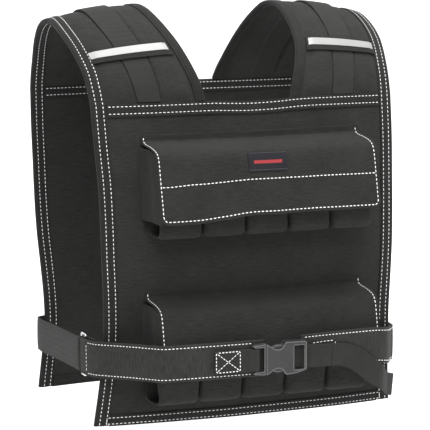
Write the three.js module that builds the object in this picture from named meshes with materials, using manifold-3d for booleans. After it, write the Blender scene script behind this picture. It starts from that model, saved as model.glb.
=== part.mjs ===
import * as THREE from 'three';
import { mergeVertices } from 'three/addons/utils/BufferGeometryUtils.js';
import Module from 'manifold-3d';

const wasm = await Module();
wasm.setup();

// Weighted vest. Millimetres, +Z up, the front faces -Y, +X is the viewer's right.
// The vest is drawn with z = 0 at the bottom hem and y = 0 midway between the bottom hems,
// then moved so that the origin sits under the shoulder straps where they hang.

// Main sizes
const panelWidth = 350;
const panelHeight = 344.3;
const vestDepth = 200;
const neckRise = 96;
const outerRise = 82;
const shellThick = 3;

// Trim sizes
const tapeWidth = 16;
const tapeThick = 1.2;
const neckTape = 12;
const bandWidth = 13;
const hemWidth = 12.5;
const webbingWidth = 25;
const webbingThick = 1.6;
const crossBandWidth = 16;
const crossBandThick = 1.2;
const stripWidth = 9;
const stripThick = 0.6;
const crossBandUp = 53.8;
const crossBandSlant = 4.2;

// Pocket sizes
const pocketCentre = 2;
const flapWidth = 252;
const flapThick = 2;
const flapReach = 62;
const flapDrop = 83;
const pouchMargin = 3;
const pouchDepth = 38;
const pouchGap = 1.2;
const gussetThick = 1.5;
const gussetSplay = 5;
const gussetOut = 3;

// Belt and buckle sizes
const beltWidth = 39;
const beltThick = 3;
const beltHeight = 80;
const backStrapWidth = 37;
const backStrapThick = 2.2;
const ringHeight = 47;
const ringWire = 2.6;
const buckleHeight = 34;
const buckleThick = 9;
const femaleLength = 46;
const maleReach = 14;
const barRadius = 1.5;
const loopReturn = 16;
const loopLead = 14;

// Clearances
const gap = 0.4;
const beltGap = 1.2;

// Panel sections from the bottom hem up: height as a share of panelHeight, half width as a
// share of half of panelWidth, edge and bulge as shares of vestDepth
const frontSections = [
  { height: 0.00, half: 1.000, edge: -0.480, bulge: 0.055 },
  { height: 0.12, half: 0.976, edge: -0.508, bulge: 0.062 },
  { height: 0.23, half: 0.962, edge: -0.537, bulge: 0.068 },
  { height: 0.31, half: 0.958, edge: -0.544, bulge: 0.070 },
  { height: 0.41, half: 0.962, edge: -0.553, bulge: 0.072 },
  { height: 0.52, half: 0.970, edge: -0.554, bulge: 0.075 },
  { height: 0.64, half: 0.974, edge: -0.547, bulge: 0.078 },
  { height: 0.76, half: 0.979, edge: -0.530, bulge: 0.080 },
  { height: 0.87, half: 0.990, edge: -0.502, bulge: 0.074 },
  { height: 1.00, half: 0.998, edge: -0.464, bulge: 0.066 },
];
const backSections = [
  { height: 0.00, half: 1.000, edge: 0.493, bulge: 0.064 },
  { height: 0.12, half: 0.976, edge: 0.482, bulge: 0.062 },
  { height: 0.21, half: 0.962, edge: 0.468, bulge: 0.060 },
  { height: 0.30, half: 0.958, edge: 0.488, bulge: 0.058 },
  { height: 0.41, half: 0.962, edge: 0.532, bulge: 0.054 },
  { height: 0.52, half: 0.970, edge: 0.574, bulge: 0.048 },
  { height: 0.64, half: 0.974, edge: 0.602, bulge: 0.042 },
  { height: 0.76, half: 0.979, edge: 0.610, bulge: 0.036 },
  { height: 0.87, half: 0.990, edge: 0.600, bulge: 0.032 },
  { height: 1.00, half: 0.998, edge: 0.588, bulge: 0.028 },
];

// Shoulder strap sections from the front over the shoulder to the back: rise as a share of
// neckRise and outerRise, x as a share of half of panelWidth, y as a share of vestDepth
const strapSections = [
  { rise: 0.00, neckX: 0.287, neckY: -0.530, outerX: 0.998, outerY: -0.464 },
  { rise: 0.20, neckX: 0.313, neckY: -0.508, outerX: 1.004, outerY: -0.430 },
  { rise: 0.40, neckX: 0.352, neckY: -0.464, outerX: 1.012, outerY: -0.382 },
  { rise: 0.60, neckX: 0.392, neckY: -0.385, outerX: 1.030, outerY: -0.302 },
  { rise: 0.75, neckX: 0.418, neckY: -0.275, outerX: 1.045, outerY: -0.214 },
  { rise: 0.88, neckX: 0.439, neckY: -0.145, outerX: 1.055, outerY: -0.100 },
  { rise: 0.97, neckX: 0.454, neckY: -0.020, outerX: 1.056, outerY: 0.010 },
  { rise: 1.00, neckX: 0.462, neckY: 0.100, outerX: 1.052, outerY: 0.105 },
  { rise: 0.97, neckX: 0.454, neckY: 0.215, outerX: 1.056, outerY: 0.200 },
  { rise: 0.88, neckX: 0.439, neckY: 0.300, outerX: 1.055, outerY: 0.280 },
  { rise: 0.75, neckX: 0.418, neckY: 0.388, outerX: 1.045, outerY: 0.356 },
  { rise: 0.60, neckX: 0.392, neckY: 0.460, outerX: 1.030, outerY: 0.430 },
  { rise: 0.40, neckX: 0.352, neckY: 0.520, outerX: 1.012, outerY: 0.506 },
  { rise: 0.20, neckX: 0.313, neckY: 0.562, outerX: 1.004, outerY: 0.555 },
  { rise: 0.00, neckX: 0.287, neckY: 0.588, outerX: 0.998, outerY: 0.588 },
];
const strapCamber = 3;
const strapWebFlare = 1.18;

// Flap profile from the sewn line down: out as a share of flapReach, down as a share of
// flapDrop, flat says how far the fold has left the panel's own curve
const flapProfile = [
  { out: 0.000, down: 0.000, flat: 0.00 },
  { out: 0.010, down: 0.060, flat: 0.05 },
  { out: 0.120, down: 0.095, flat: 0.15 },
  { out: 0.330, down: 0.110, flat: 0.40 },
  { out: 0.520, down: 0.130, flat: 0.70 },
  { out: 0.660, down: 0.160, flat: 0.90 },
  { out: 0.745, down: 0.215, flat: 1.00 },
  { out: 0.800, down: 0.320, flat: 1.00 },
  { out: 0.870, down: 0.560, flat: 1.00 },
  { out: 0.940, down: 0.800, flat: 1.00 },
  { out: 1.000, down: 1.000, flat: 1.00 },
];
const flapCamber = 4;

// Wave of the flap's free edge across its width: across from -1 to 1, lift as a share of flapDrop
const flapWave = [
  { across: -1.00, lift: 0.000 },
  { across: -0.70, lift: -0.006 },
  { across: -0.45, lift: 0.006 },
  { across: -0.20, lift: 0.034 },
  { across: 0.05, lift: 0.030 },
  { across: 0.40, lift: 0.018 },
  { across: 1.00, lift: 0.000 },
];

// Two rows of pockets: sewn line and pouch bottom as shares of panelHeight, reach as a share
// of flapReach
const pocketRows = [
  { row: 'upper', flapTop: 0.908, pouchBottom: 0.604, reach: 1.00 },
  { row: 'lower', flapTop: 0.428, pouchBottom: 0.080, reach: 0.92 },
];

// Pouch sections from the bottom up: up as a share of the pouch height, depth as a share of
// pouchDepth, inset as a share of the pouch width
const pouchSections = [
  { up: 0.000, depth: 0.780, inset: 0.050 },
  { up: 0.030, depth: 0.960, inset: 0.014 },
  { up: 0.090, depth: 1.030, inset: 0.000 },
  { up: 0.450, depth: 1.060, inset: 0.000 },
  { up: 0.800, depth: 0.960, inset: 0.004 },
  { up: 0.940, depth: 0.880, inset: 0.010 },
  { up: 1.000, depth: 0.700, inset: 0.050 },
];

// Pouch outline across: side from -1 to 1 across the half width, out from the panel to the front
const pouchOutline = [
  { side: -1.00, out: 0.00 },
  { side: -1.00, out: 0.45 },
  { side: -1.00, out: 0.84 },
  { side: -0.95, out: 0.94 },
  { side: -0.84, out: 0.98 },
  { side: 0.00, out: 1.00 },
  { side: 0.84, out: 0.98 },
  { side: 0.95, out: 0.94 },
  { side: 1.00, out: 0.84 },
  { side: 1.00, out: 0.45 },
  { side: 1.00, out: 0.00 },
  { side: 0.00, out: 0.00 },
];

// Front belt seen from above, left ring to right side: x as a share of half of panelWidth plus
// flap as a share of half of flapWidth, y as a share of vestDepth less ahead as a share of how
// far the lower pockets stand out, rise as a share of beltWidth; socket adds a share of the
// socket's length where a row keeps to the buckle
const leftBeltPath = [
  { x: -1.052, flap: 0.000, y: -0.415, ahead: 0.000, rise: -0.08 },
  { x: -1.044, flap: 0.000, y: -0.480, ahead: 0.000, rise: -0.08 },
  { x: -1.018, flap: 0.000, y: -0.545, ahead: 0.000, rise: -0.07 },
  { x: -0.965, flap: 0.000, y: -0.580, ahead: 0.101, rise: -0.05 },
  { x: -0.603, flap: -0.360, y: -0.590, ahead: 0.488, rise: 0.00 },
  { x: -0.199, flap: -0.800, y: -0.600, ahead: 0.801, rise: 0.03 },
  { x: 0.000, flap: -1.002, y: -0.600, ahead: 1.003, rise: 0.05 },
  { x: 0.000, flap: -0.881, y: -0.600, ahead: 1.063, rise: 0.06 },
  { x: -0.400, flap: 0.000, y: -0.600, ahead: 1.110, rise: 0.06 },
  { x: -0.170, flap: 0.000, y: -0.600, ahead: 1.131, rise: 0.05 },
];
const rightBeltPath = [
  { x: -0.100, socket: 0.942, flap: 0.000, y: -0.600, ahead: 1.131, rise: 0.09 },
  { x: 0.400, flap: 0.000, y: -0.600, ahead: 1.117, rise: 0.11 },
  { x: 0.000, flap: 0.895, y: -0.600, ahead: 1.077, rise: 0.11 },
  { x: 0.000, flap: 1.012, y: -0.600, ahead: 1.026, rise: 0.07 },
  { x: 0.209, flap: 0.800, y: -0.600, ahead: 0.841, rise: -0.01 },
  { x: 0.598, flap: 0.360, y: -0.590, ahead: 0.505, rise: -0.13 },
  { x: 0.945, flap: 0.000, y: -0.580, ahead: 0.135, rise: -0.24 },
  { x: 0.994, flap: 0.000, y: -0.562, ahead: 0.000, rise: -0.27 },
  { x: 1.014, flap: 0.000, y: -0.480, ahead: 0.000, rise: -0.28 },
  { x: 1.020, flap: 0.000, y: -0.300, ahead: 0.000, rise: -0.29 },
  { x: 1.020, flap: 0.000, y: 0.000, ahead: 0.000, rise: -0.32 },
  { x: 1.020, flap: 0.000, y: 0.300, ahead: 0.000, rise: -0.36 },
  { x: 1.018, flap: 0.000, y: 0.450, ahead: 0.000, rise: -0.37 },
  { x: 0.994, flap: 0.000, y: 0.535, ahead: 0.000, rise: -0.38 },
  { x: 0.668, flap: 0.360, y: 0.566, ahead: 0.000, rise: -0.38 },
  { x: 0.219, flap: 0.800, y: 0.580, ahead: 0.000, rise: -0.38 },
];
const backStrapPath = [
  { x: -1.050, flap: 0.000, y: -0.350, ahead: 0.000, rise: -0.09 },
  { x: -1.044, flap: 0.000, y: -0.200, ahead: 0.000, rise: -0.14 },
  { x: -1.034, flap: 0.000, y: 0.050, ahead: 0.000, rise: -0.22 },
  { x: -1.026, flap: 0.000, y: 0.300, ahead: 0.000, rise: -0.32 },
  { x: -1.018, flap: 0.000, y: 0.430, ahead: 0.000, rise: -0.36 },
  { x: -0.996, flap: 0.000, y: 0.505, ahead: 0.000, rise: -0.38 },
  { x: -0.930, flap: 0.000, y: 0.532, ahead: 0.000, rise: -0.38 },
  { x: -0.700, flap: 0.000, y: 0.552, ahead: 0.000, rise: -0.38 },
  { x: -0.350, flap: 0.000, y: 0.572, ahead: 0.000, rise: -0.38 },
  { x: 0.000, flap: 0.000, y: 0.578, ahead: 0.000, rise: -0.38 },
  { x: 0.350, flap: 0.000, y: 0.572, ahead: 0.000, rise: -0.38 },
  { x: 0.700, flap: 0.000, y: 0.552, ahead: 0.000, rise: -0.38 },
  { x: 0.945, flap: 0.000, y: 0.530, ahead: 0.000, rise: -0.38 },
];

// Loose webbing end past the buckle: the same columns
const tailPath = [
  { x: -0.100, socket: 0.709, flap: 0.000, y: -0.600, ahead: 1.218, rise: 0.03 },
  { x: -0.100, socket: 1.206, flap: 0.000, y: -0.600, ahead: 1.218, rise: 0.02 },
  { x: 0.380, flap: 0.000, y: -0.600, ahead: 1.201, rise: -0.01 },
  { x: 0.000, flap: 0.619, y: -0.600, ahead: 1.194, rise: -0.06 },
  { x: 0.000, flap: 0.695, y: -0.600, ahead: 1.188, rise: -0.16 },
  { x: 0.000, flap: 0.791, y: -0.600, ahead: 1.178, rise: -0.38 },
  { x: 0.000, flap: 0.888, y: -0.600, ahead: 1.157, rise: -0.62 },
  { x: 0.000, flap: 0.977, y: -0.600, ahead: 1.094, rise: -0.82 },
  { x: 0.209, flap: 0.800, y: -0.600, ahead: 0.774, rise: -1.07 },
  { x: 0.603, flap: 0.360, y: -0.590, ahead: 0.404, rise: -1.28 },
  { x: 0.945, flap: 0.000, y: -0.580, ahead: 0.202, rise: -1.42 },
];

// Buckle socket outline from its left end: along as a share of femaleLength, top and bottom
// as shares of buckleHeight
const femaleOutline = [
  { along: 0.00, top: 0.49, bottom: -0.49 },
  { along: 0.05, top: 0.46, bottom: -0.46 },
  { along: 0.15, top: 0.35, bottom: -0.35 },
  { along: 0.22, top: 0.31, bottom: -0.31 },
  { along: 0.31, top: 0.30, bottom: -0.30 },
  { along: 0.39, top: 0.34, bottom: -0.34 },
  { along: 0.45, top: 0.44, bottom: -0.42 },
  { along: 0.48, top: 0.51, bottom: -0.51 },
  { along: 0.60, top: 0.51, bottom: -0.51 },
  { along: 0.80, top: 0.50, bottom: -0.47 },
  { along: 0.96, top: 0.49, bottom: -0.42 },
  { along: 1.00, top: 0.46, bottom: -0.38 },
];

// Colours
const cloth = { color: 0x33353a, roughness: 0.9, metalness: 0 };
const tape = { color: 0x26282b, roughness: 0.85, metalness: 0 };
const web = { color: 0x3c3e42, roughness: 0.8, metalness: 0 };
const greyWeb = { color: 0x55575c, roughness: 0.8, metalness: 0 };
const reflective = { color: 0xe6e8ea, roughness: 0.35, metalness: 0 };
const plastic = { color: 0x63666a, roughness: 0.5, metalness: 0 };
const chrome = { color: 0xcdd0d4, roughness: 0.2, metalness: 1 };
const patch = { color: 0x1d1e22, roughness: 0.8, metalness: 0 };

const group = new THREE.Group();
group.name = 'weighted_vest';

const V = (x, y, z) => new THREE.Vector3(x, y, z);
const foldThick = gap + tapeThick;
const pouchRowWidth = flapWidth - 2 * pouchMargin;
const halfWidth = panelWidth / 2 - foldThick;
const seatY = 0.1 * vestDepth;
const seatZ = panelHeight + neckRise - shellThick;

// How far the lower pockets stand out, and the belt's line in front of them
const pocketOut = flapReach * pocketRows[1].reach + flapThick + gap;
const beltLineY = -0.6 * vestDepth - leftBeltPath[leftBeltPath.length - 1].ahead * pocketOut;

// Closed surface from a list of points and faces, faces turned outward
function solidFrom(points, faces) {
  let volume = 0;
  for (const [a, b, c] of faces) {
    volume += points[a].dot(points[b].clone().cross(points[c]));
  }
  const index = faces.flatMap(([a, b, c]) => (volume < 0 ? [a, c, b] : [a, b, c]));
  const geometry = new THREE.BufferGeometry();
  const flat = points.flatMap((p) => [p.x, p.y, p.z]);
  geometry.setAttribute('position', new THREE.Float32BufferAttribute(flat, 3));
  geometry.setIndex(index);
  return geometry;
}

// Named node, moved so that the origin is the shoulder seat
function put(name, geometry, look) {
  const bare = new THREE.BufferGeometry();
  bare.setAttribute('position', geometry.getAttribute('position').clone());
  if (geometry.getIndex()) bare.setIndex(geometry.getIndex().clone());
  const shape = mergeVertices(bare, 1e-4);
  shape.translate(0, -seatY, -seatZ);
  shape.computeVertexNormals();
  const mesh = new THREE.Mesh(shape, new THREE.MeshStandardMaterial(look));
  mesh.name = name;
  group.add(mesh);
}

// Mirror image across x = 0
function mirrored(geometry) {
  const copy = geometry.clone();
  copy.scale(-1, 1, 1);
  const index = copy.getIndex();
  for (let i = 0; i < index.count; i += 3) {
    const b = index.getX(i + 1);
    index.setX(i + 1, index.getX(i + 2));
    index.setX(i + 2, b);
  }
  return copy;
}

// Booleans
function toManifold(geometry) {
  const bare = new THREE.BufferGeometry();
  bare.setAttribute('position', geometry.getAttribute('position').clone());
  if (geometry.getIndex()) bare.setIndex(geometry.getIndex().clone());
  const merged = mergeVertices(bare, 1e-4);
  const vertProperties = new Float32Array(merged.getAttribute('position').array);
  const triVerts = new Uint32Array(merged.getIndex().array);
  return new wasm.Manifold(new wasm.Mesh({ numProp: 3, vertProperties, triVerts }));
}
function fromManifold(body) {
  const mesh = body.getMesh();
  const geometry = new THREE.BufferGeometry();
  geometry.setAttribute('position', new THREE.Float32BufferAttribute(mesh.vertProperties, 3));
  geometry.setIndex(Array.from(mesh.triVerts));
  return geometry;
}
function boxAt(x0, x1, y0, y1, z0, z1) {
  const box = new THREE.BoxGeometry(x1 - x0, y1 - y0, z1 - z0);
  box.translate((x0 + x1) / 2, (y0 + y1) / 2, (z0 + z1) / 2);
  return box;
}

// A section swept through frames; each frame has an edge point e and directions a and n
function sweep(section, frames) {
  const points = [];
  const faces = [];
  const count = section.length;
  for (const f of frames) {
    for (const [a, b] of section) {
      points.push(f.e.clone().addScaledVector(f.a, a).addScaledVector(f.n, b));
    }
  }
  for (let i = 0; i < frames.length - 1; i += 1) {
    for (let j = 0; j < count; j += 1) {
      const k = (j + 1) % count;
      const p = i * count;
      faces.push([p + j, p + count + k, p + k]);
      faces.push([p + j, p + count + j, p + count + k]);
    }
  }
  const contour = section.map(([a, b]) => new THREE.Vector2(a, b));
  const turned = THREE.ShapeUtils.isClockWise(contour);
  const caps = THREE.ShapeUtils.triangulateShape(contour, []);
  const last = (frames.length - 1) * count;
  for (const [a, b, c] of caps) {
    if (turned) {
      faces.push([a, b, c]);
      faces.push([last + a, last + c, last + b]);
    } else {
      faces.push([a, b, c]);
      faces.push([last + a, last + c, last + b]);
    }
  }
  return solidFrom(points, faces);
}

// A slab between two offsets of a surface; at(u, v) gives the point, out is the sign of the normal
function slab(at, us, vs, offsets, out) {
  const points = [];
  const faces = [];
  const rows = vs.length;
  const cols = us.length;
  for (let side = 0; side < 2; side += 1) {
    for (let j = 0; j < rows; j += 1) {
      for (let i = 0; i < cols; i += 1) {
        const n = normalAt(at, us[i], vs[j], out);
        const lift = typeof offsets === 'function' ? offsets(us[i], vs[j])[side] : offsets[side];
        points.push(at(us[i], vs[j]).addScaledVector(n, lift));
      }
    }
  }
  const half = rows * cols;
  const at2 = (j, i, side) => side * half + j * cols + i;
  const quad = (a, b, c, d) => {
    faces.push([a, b, c]);
    faces.push([a, c, d]);
  };
  for (let j = 0; j < rows - 1; j += 1) {
    for (let i = 0; i < cols - 1; i += 1) {
      quad(at2(j, i, 0), at2(j, i + 1, 0), at2(j + 1, i + 1, 0), at2(j + 1, i, 0));
      quad(at2(j, i, 1), at2(j + 1, i, 1), at2(j + 1, i + 1, 1), at2(j, i + 1, 1));
    }
  }
  for (let i = 0; i < cols - 1; i += 1) {
    quad(at2(0, i, 0), at2(0, i, 1), at2(0, i + 1, 1), at2(0, i + 1, 0));
    quad(at2(rows - 1, i, 0), at2(rows - 1, i + 1, 0), at2(rows - 1, i + 1, 1), at2(rows - 1, i, 1));
  }
  for (let j = 0; j < rows - 1; j += 1) {
    quad(at2(j, 0, 0), at2(j + 1, 0, 0), at2(j + 1, 0, 1), at2(j, 0, 1));
    quad(at2(j, cols - 1, 0), at2(j, cols - 1, 1), at2(j + 1, cols - 1, 1), at2(j + 1, cols - 1, 0));
  }
  return solidFrom(points, faces);
}
function normalAt(at, u, v, out) {
  const d = 1e-3;
  const du = at(u + d, v).sub(at(u - d, v));
  const dv = at(u, v + d).sub(at(u, v - d));
  return du.cross(dv).normalize().multiplyScalar(out);
}
function steps(from, to, count) {
  return Array.from({ length: count + 1 }, (_, i) => from + ((to - from) * i) / count);
}

// Smooth value of a column of a table at a key, straight on past the ends
function column(table, key, name, at) {
  const last = table.length - 1;
  let i = 0;
  while (i < last - 1 && at > table[i + 1][key]) i += 1;
  const a = table[i];
  const b = table[i + 1];
  const slope = (p, q) => (table[q][name] - table[p][name]) / (table[q][key] - table[p][key]);
  const here = slope(i, i + 1);
  const before = i > 0 ? (slope(i - 1, i) + here) / 2 : here;
  const after = i < last - 1 ? (here + slope(i + 1, i + 2)) / 2 : here;
  const h = b[key] - a[key];
  const t = (at - a[key]) / h;
  if (t < 0) return a[name] + before * (at - a[key]);
  if (t > 1) return b[name] + after * (at - b[key]);
  const s = t * t * (3 - 2 * t);
  const m = t * (1 - t);
  return a[name] + (b[name] - a[name]) * s + h * m * ((1 - t) * before - t * after);
}

// Panel surfaces: u from -1 to 1 across, v from 0 to 1 up
function panelAt(table, sign) {
  return (u, v) => {
    const half = column(table, 'height', 'half', v) * halfWidth;
    const edge = column(table, 'height', 'edge', v) * vestDepth;
    const bulge = column(table, 'height', 'bulge', v) * vestDepth;
    return V(u * half, edge + sign * bulge * (1 - u * u), foldThick + v * (panelHeight - foldThick));
  };
}
const frontAt = panelAt(frontSections, -1);
const backAt = panelAt(backSections, 1);
const panelRows = steps(0, 1, 10);
const panelCols = [-1, -0.9, -0.72, -0.54, -0.36, -0.18, 0, 0.18, 0.36, 0.54, 0.72, 0.9, 1];

// Y of the front panel's outer face at a point x, z
function faceY(x, z) {
  const v = (z - foldThick) / (panelHeight - foldThick);
  const half = column(frontSections, 'height', 'half', v) * halfWidth;
  return frontAt(x / half, v).y - shellThick / 2;
}

// Shoulder strap surface: u from 0 at the neck edge to 1 at the outer edge, t from 0 at the
// front to 1 at the back, on the +x side
const neckCurve = new THREE.CatmullRomCurve3(
  strapSections.map((s) => V(s.neckX * halfWidth, s.neckY * vestDepth, panelHeight + s.rise * neckRise)),
  false,
  'catmullrom',
  0.5,
);
const outerCurve = new THREE.CatmullRomCurve3(
  strapSections.map((s) => V(s.outerX * halfWidth, s.outerY * vestDepth, panelHeight + s.rise * outerRise)),
  false,
  'catmullrom',
  0.5,
);
function curveAt(curve, t) {
  const end = t < 0 ? 0 : 1;
  if (t >= 0 && t <= 1) return curve.getPoint(t);
  const ahead = curve.getPoint(Math.min(1, end + 0.01)).sub(curve.getPoint(Math.max(0, end - 0.01)));
  return curve.getPoint(end).addScaledVector(ahead, (t - end) * 100);
}
function strapAt(u, t) {
  const p = curveAt(neckCurve, t).lerp(curveAt(outerCurve, t), u);
  const across = curveAt(outerCurve, t).sub(curveAt(neckCurve, t));
  const along = curveAt(neckCurve, t + 1e-3).sub(curveAt(neckCurve, t - 1e-3));
  const n = across.cross(along).normalize();
  p.addScaledVector(n, strapCamber * 4 * u * (1 - u) * Math.min(1, Math.min(t, 1 - t) * 12));
  const table = t < 0.5 ? frontSections : backSections;
  const at = t < 0.5 ? frontAt : backAt;
  const half = column(table, 'height', 'half', 1) * halfWidth;
  const fade = Math.max(0, 1 - Math.min(t, 1 - t) * 10);
  const blend = fade * fade * (3 - 2 * fade);
  p.y += (at(p.x / half, 1).y - curveAt(neckCurve, t < 0.5 ? 0 : 1).lerp(
    curveAt(outerCurve, t < 0.5 ? 0 : 1), u).y) * blend;
  return p;
}
const strapTape = 0.14;
const strapRows = steps(0.003, 0.997, 22);
const joinGap = gap / panelHeight;

// Front and back panels
const panelTop = panelRows.map((v) => (v === 1 ? 1 - joinGap : v));
put('front_panel', slab(frontAt, panelCols, panelTop, [-shellThick / 2, shellThick / 2], 1), cloth);
put('back_panel', slab(backAt, panelCols, panelTop, [-shellThick / 2, shellThick / 2], -1), cloth);

// Shoulder straps
const strapCols = [0, strapTape, 0.32, 0.5, 0.68, 1 - strapTape, 1];
const strap = slab(strapAt, strapCols, strapRows, [-shellThick / 2, shellThick / 2], 1);
put('right_strap', strap, cloth);
put('left_strap', mirrored(strap), cloth);

// Folded tape section round a cloth edge: a runs inward from the edge, b is off the cloth
function foldSection(width) {
  const inner = shellThick / 2 + gap;
  const outer = inner + tapeThick;
  return [
    [width, outer],
    [-gap - tapeThick, outer],
    [-gap - tapeThick, -outer],
    [width, -outer],
    [width, -inner],
    [-gap, -inner],
    [-gap, inner],
    [width, inner],
  ];
}
function frameOn(at, u, v, toward, out) {
  const e = at(u, v);
  const n = normalAt(at, u, v, out);
  const a = at(u + toward[0], v + toward[1]).sub(e).normalize();
  n.addScaledVector(a, -n.dot(a)).normalize();
  return { e, a, n };
}

// Edge binding from the front hem over the shoulder to the back hem
const edgeFrames = [];
const tapeShare = tapeWidth / halfWidth;
for (const v of panelRows) edgeFrames.push(frameOn(frontAt, 1, v, [-tapeShare, 0], 1));
for (const t of strapRows) edgeFrames.push(frameOn(strapAt, 1, t, [-strapTape, 0], 1));
for (const v of panelRows.slice().reverse()) {
  edgeFrames.push(frameOn(backAt, 1, v, [-tapeShare, 0], -1));
}
const edgeBinding = sweep(foldSection(tapeWidth), edgeFrames);
put('right_edge_binding', edgeBinding, tape);
put('left_edge_binding', mirrored(edgeBinding), tape);

// Neck bindings between the two top bands
const neckFrames = [0.012, ...strapRows.slice(1, -1), 0.988].map(
  (t) => frameOn(strapAt, 0, t, [strapTape, 0], 1));
const neckBinding = sweep(foldSection(neckTape), neckFrames);
put('right_neck_binding', neckBinding, tape);
put('left_neck_binding', mirrored(neckBinding), tape);

// Bottom hems between the edge bindings
const hemShare = 1 - (tapeWidth + 2 * gap) / halfWidth;
const hemStep = hemWidth / panelHeight;
for (const [name, at, out] of [['front_hem', frontAt, 1], ['back_hem', backAt, -1]]) {
  const frames = steps(-hemShare, hemShare, 12).map((u) => frameOn(at, u, 0, [0, hemStep], out));
  put(name, sweep(foldSection(hemWidth), frames), tape);
}

// Top bands: strips outside and inside over the join of panel and straps, one fold at the neck
const bandShare = 1 - (tapeWidth + 2 * gap) / halfWidth;
const neckShare = strapSections[0].neckX - 2 * gap / halfWidth;
for (const [name, at, out] of [['front_top_band', frontAt, 1], ['back_top_band', backAt, -1]]) {
  const inner = shellThick / 2 + gap;
  const flat = [
    [bandWidth, inner],
    [bandWidth, inner + tapeThick],
    [-gap - tapeThick, inner + tapeThick],
    [-gap - tapeThick, inner],
  ];
  const wide = steps(-bandShare, bandShare, 12).map((u) => frameOn(at, u, 1, [0, -hemStep], out));
  const fold = steps(-neckShare, neckShare, 6).map((u) => frameOn(at, u, 1, [0, -hemStep], out));
  const under = flat.map(([a, b]) => [Math.max(0, a), -b]).reverse();
  const band = toManifold(sweep(flat, wide))
    .add(toManifold(sweep(foldSection(bandWidth), fold)))
    .add(toManifold(sweep(under, wide)));
  put(name, fromManifold(band), tape);
}

// Webbing down the middle of each strap
const webbingLift = shellThick / 2 + gap;
function webbingRow(t) {
  const width = column(
    [{ t: 0, w: 1 }, { t: 0.5, w: strapWebFlare }, { t: 1, w: 1 }], 't', 'w', t) * webbingWidth;
  const span = strapAt(1, t).distanceTo(strapAt(0, t));
  return width / span / 2;
}
const webbingAt = (u, t) => strapAt(0.5 + u * webbingRow(t), t);
const webbingRows = steps(0.012, 0.988, 22);
const webbing = slab(webbingAt, [-1, 0, 1], webbingRows, [webbingLift, webbingLift + webbingThick], 1);
put('right_strap_webbing', webbing, web);
put('left_strap_webbing', mirrored(webbing), web);

// Band and bright strip across the front of each strap
const strapLength = outerCurve.getLength();
const crossAt = crossBandUp / strapLength;
const crossSlant = crossBandSlant / strapLength;
const crossLift = webbingLift + webbingThick + 2 * gap;
const crossSpan = strapAt(1, crossAt).distanceTo(strapAt(0, crossAt));
const crossFrom = (neckTape + 3 * gap) / crossSpan;
const crossTo = 1 - (tapeWidth + 3 * gap) / crossSpan;
const crossRamp = (0.6 * webbingWidth * strapWebFlare) / crossSpan;
const acrossCols = [crossFrom, 0.25, 0.5 - crossRamp, 0.5, 0.5 + crossRamp, 0.75, crossTo];
function crossSurface(width, shift) {
  return (u, s) => strapAt(u, crossAt + crossSlant * (1 - u) + shift + (s * width) / strapLength);
}
function rideOver(lift, thick) {
  return (u) => {
    const over = Math.abs(u - 0.5) < crossRamp + 0.01 ? lift : lift - webbingThick * 0.8;
    return [over, over + thick];
  };
}
const crossBand = slab(crossSurface(crossBandWidth, 0), acrossCols, [-0.5, 0, 0.5],
  rideOver(crossLift, crossBandThick), 1);
put('right_cross_band', crossBand, tape);
put('left_cross_band', mirrored(crossBand), tape);
const stripLift = crossLift + crossBandThick + gap;
const strip = slab(crossSurface(stripWidth, 0.09 * crossBandWidth / strapLength), acrossCols, [-0.5, 0, 0.5],
  rideOver(stripLift, stripThick), 1);
put('right_reflective_strip', strip, reflective);
put('left_reflective_strip', mirrored(strip), reflective);

// Flap point: k runs down the profile, s across from -1 to 1, lift is off its outer face
const flapIndex = flapProfile.map((row, i) => ({ ...row, i }));
function flapPoint(row, s, k) {
  const x = pocketCentre + (s * flapWidth) / 2;
  const sewn = row.flapTop * panelHeight;
  const out = column(flapIndex, 'i', 'out', k) * flapReach * row.reach;
  const down = column(flapIndex, 'i', 'down', k) * flapDrop;
  const flat = Math.min(1, Math.max(0, column(flapIndex, 'i', 'flat', k)));
  const wave = column(flapWave, 'across', 'lift', s) * flapDrop * Math.max(0, (k - 4) / 6);
  const own = faceY(x, sewn - Math.min(down, 0.1 * flapDrop));
  const end = faceY(pocketCentre + flapWidth / 2, sewn) - flapCamber * (1 - s * s);
  return V(x, own + (end - own) * flat - gap - flapThick - out, sewn - down + wave);
}
const flapSteps = flapProfile.map((_, i) => i);

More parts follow.
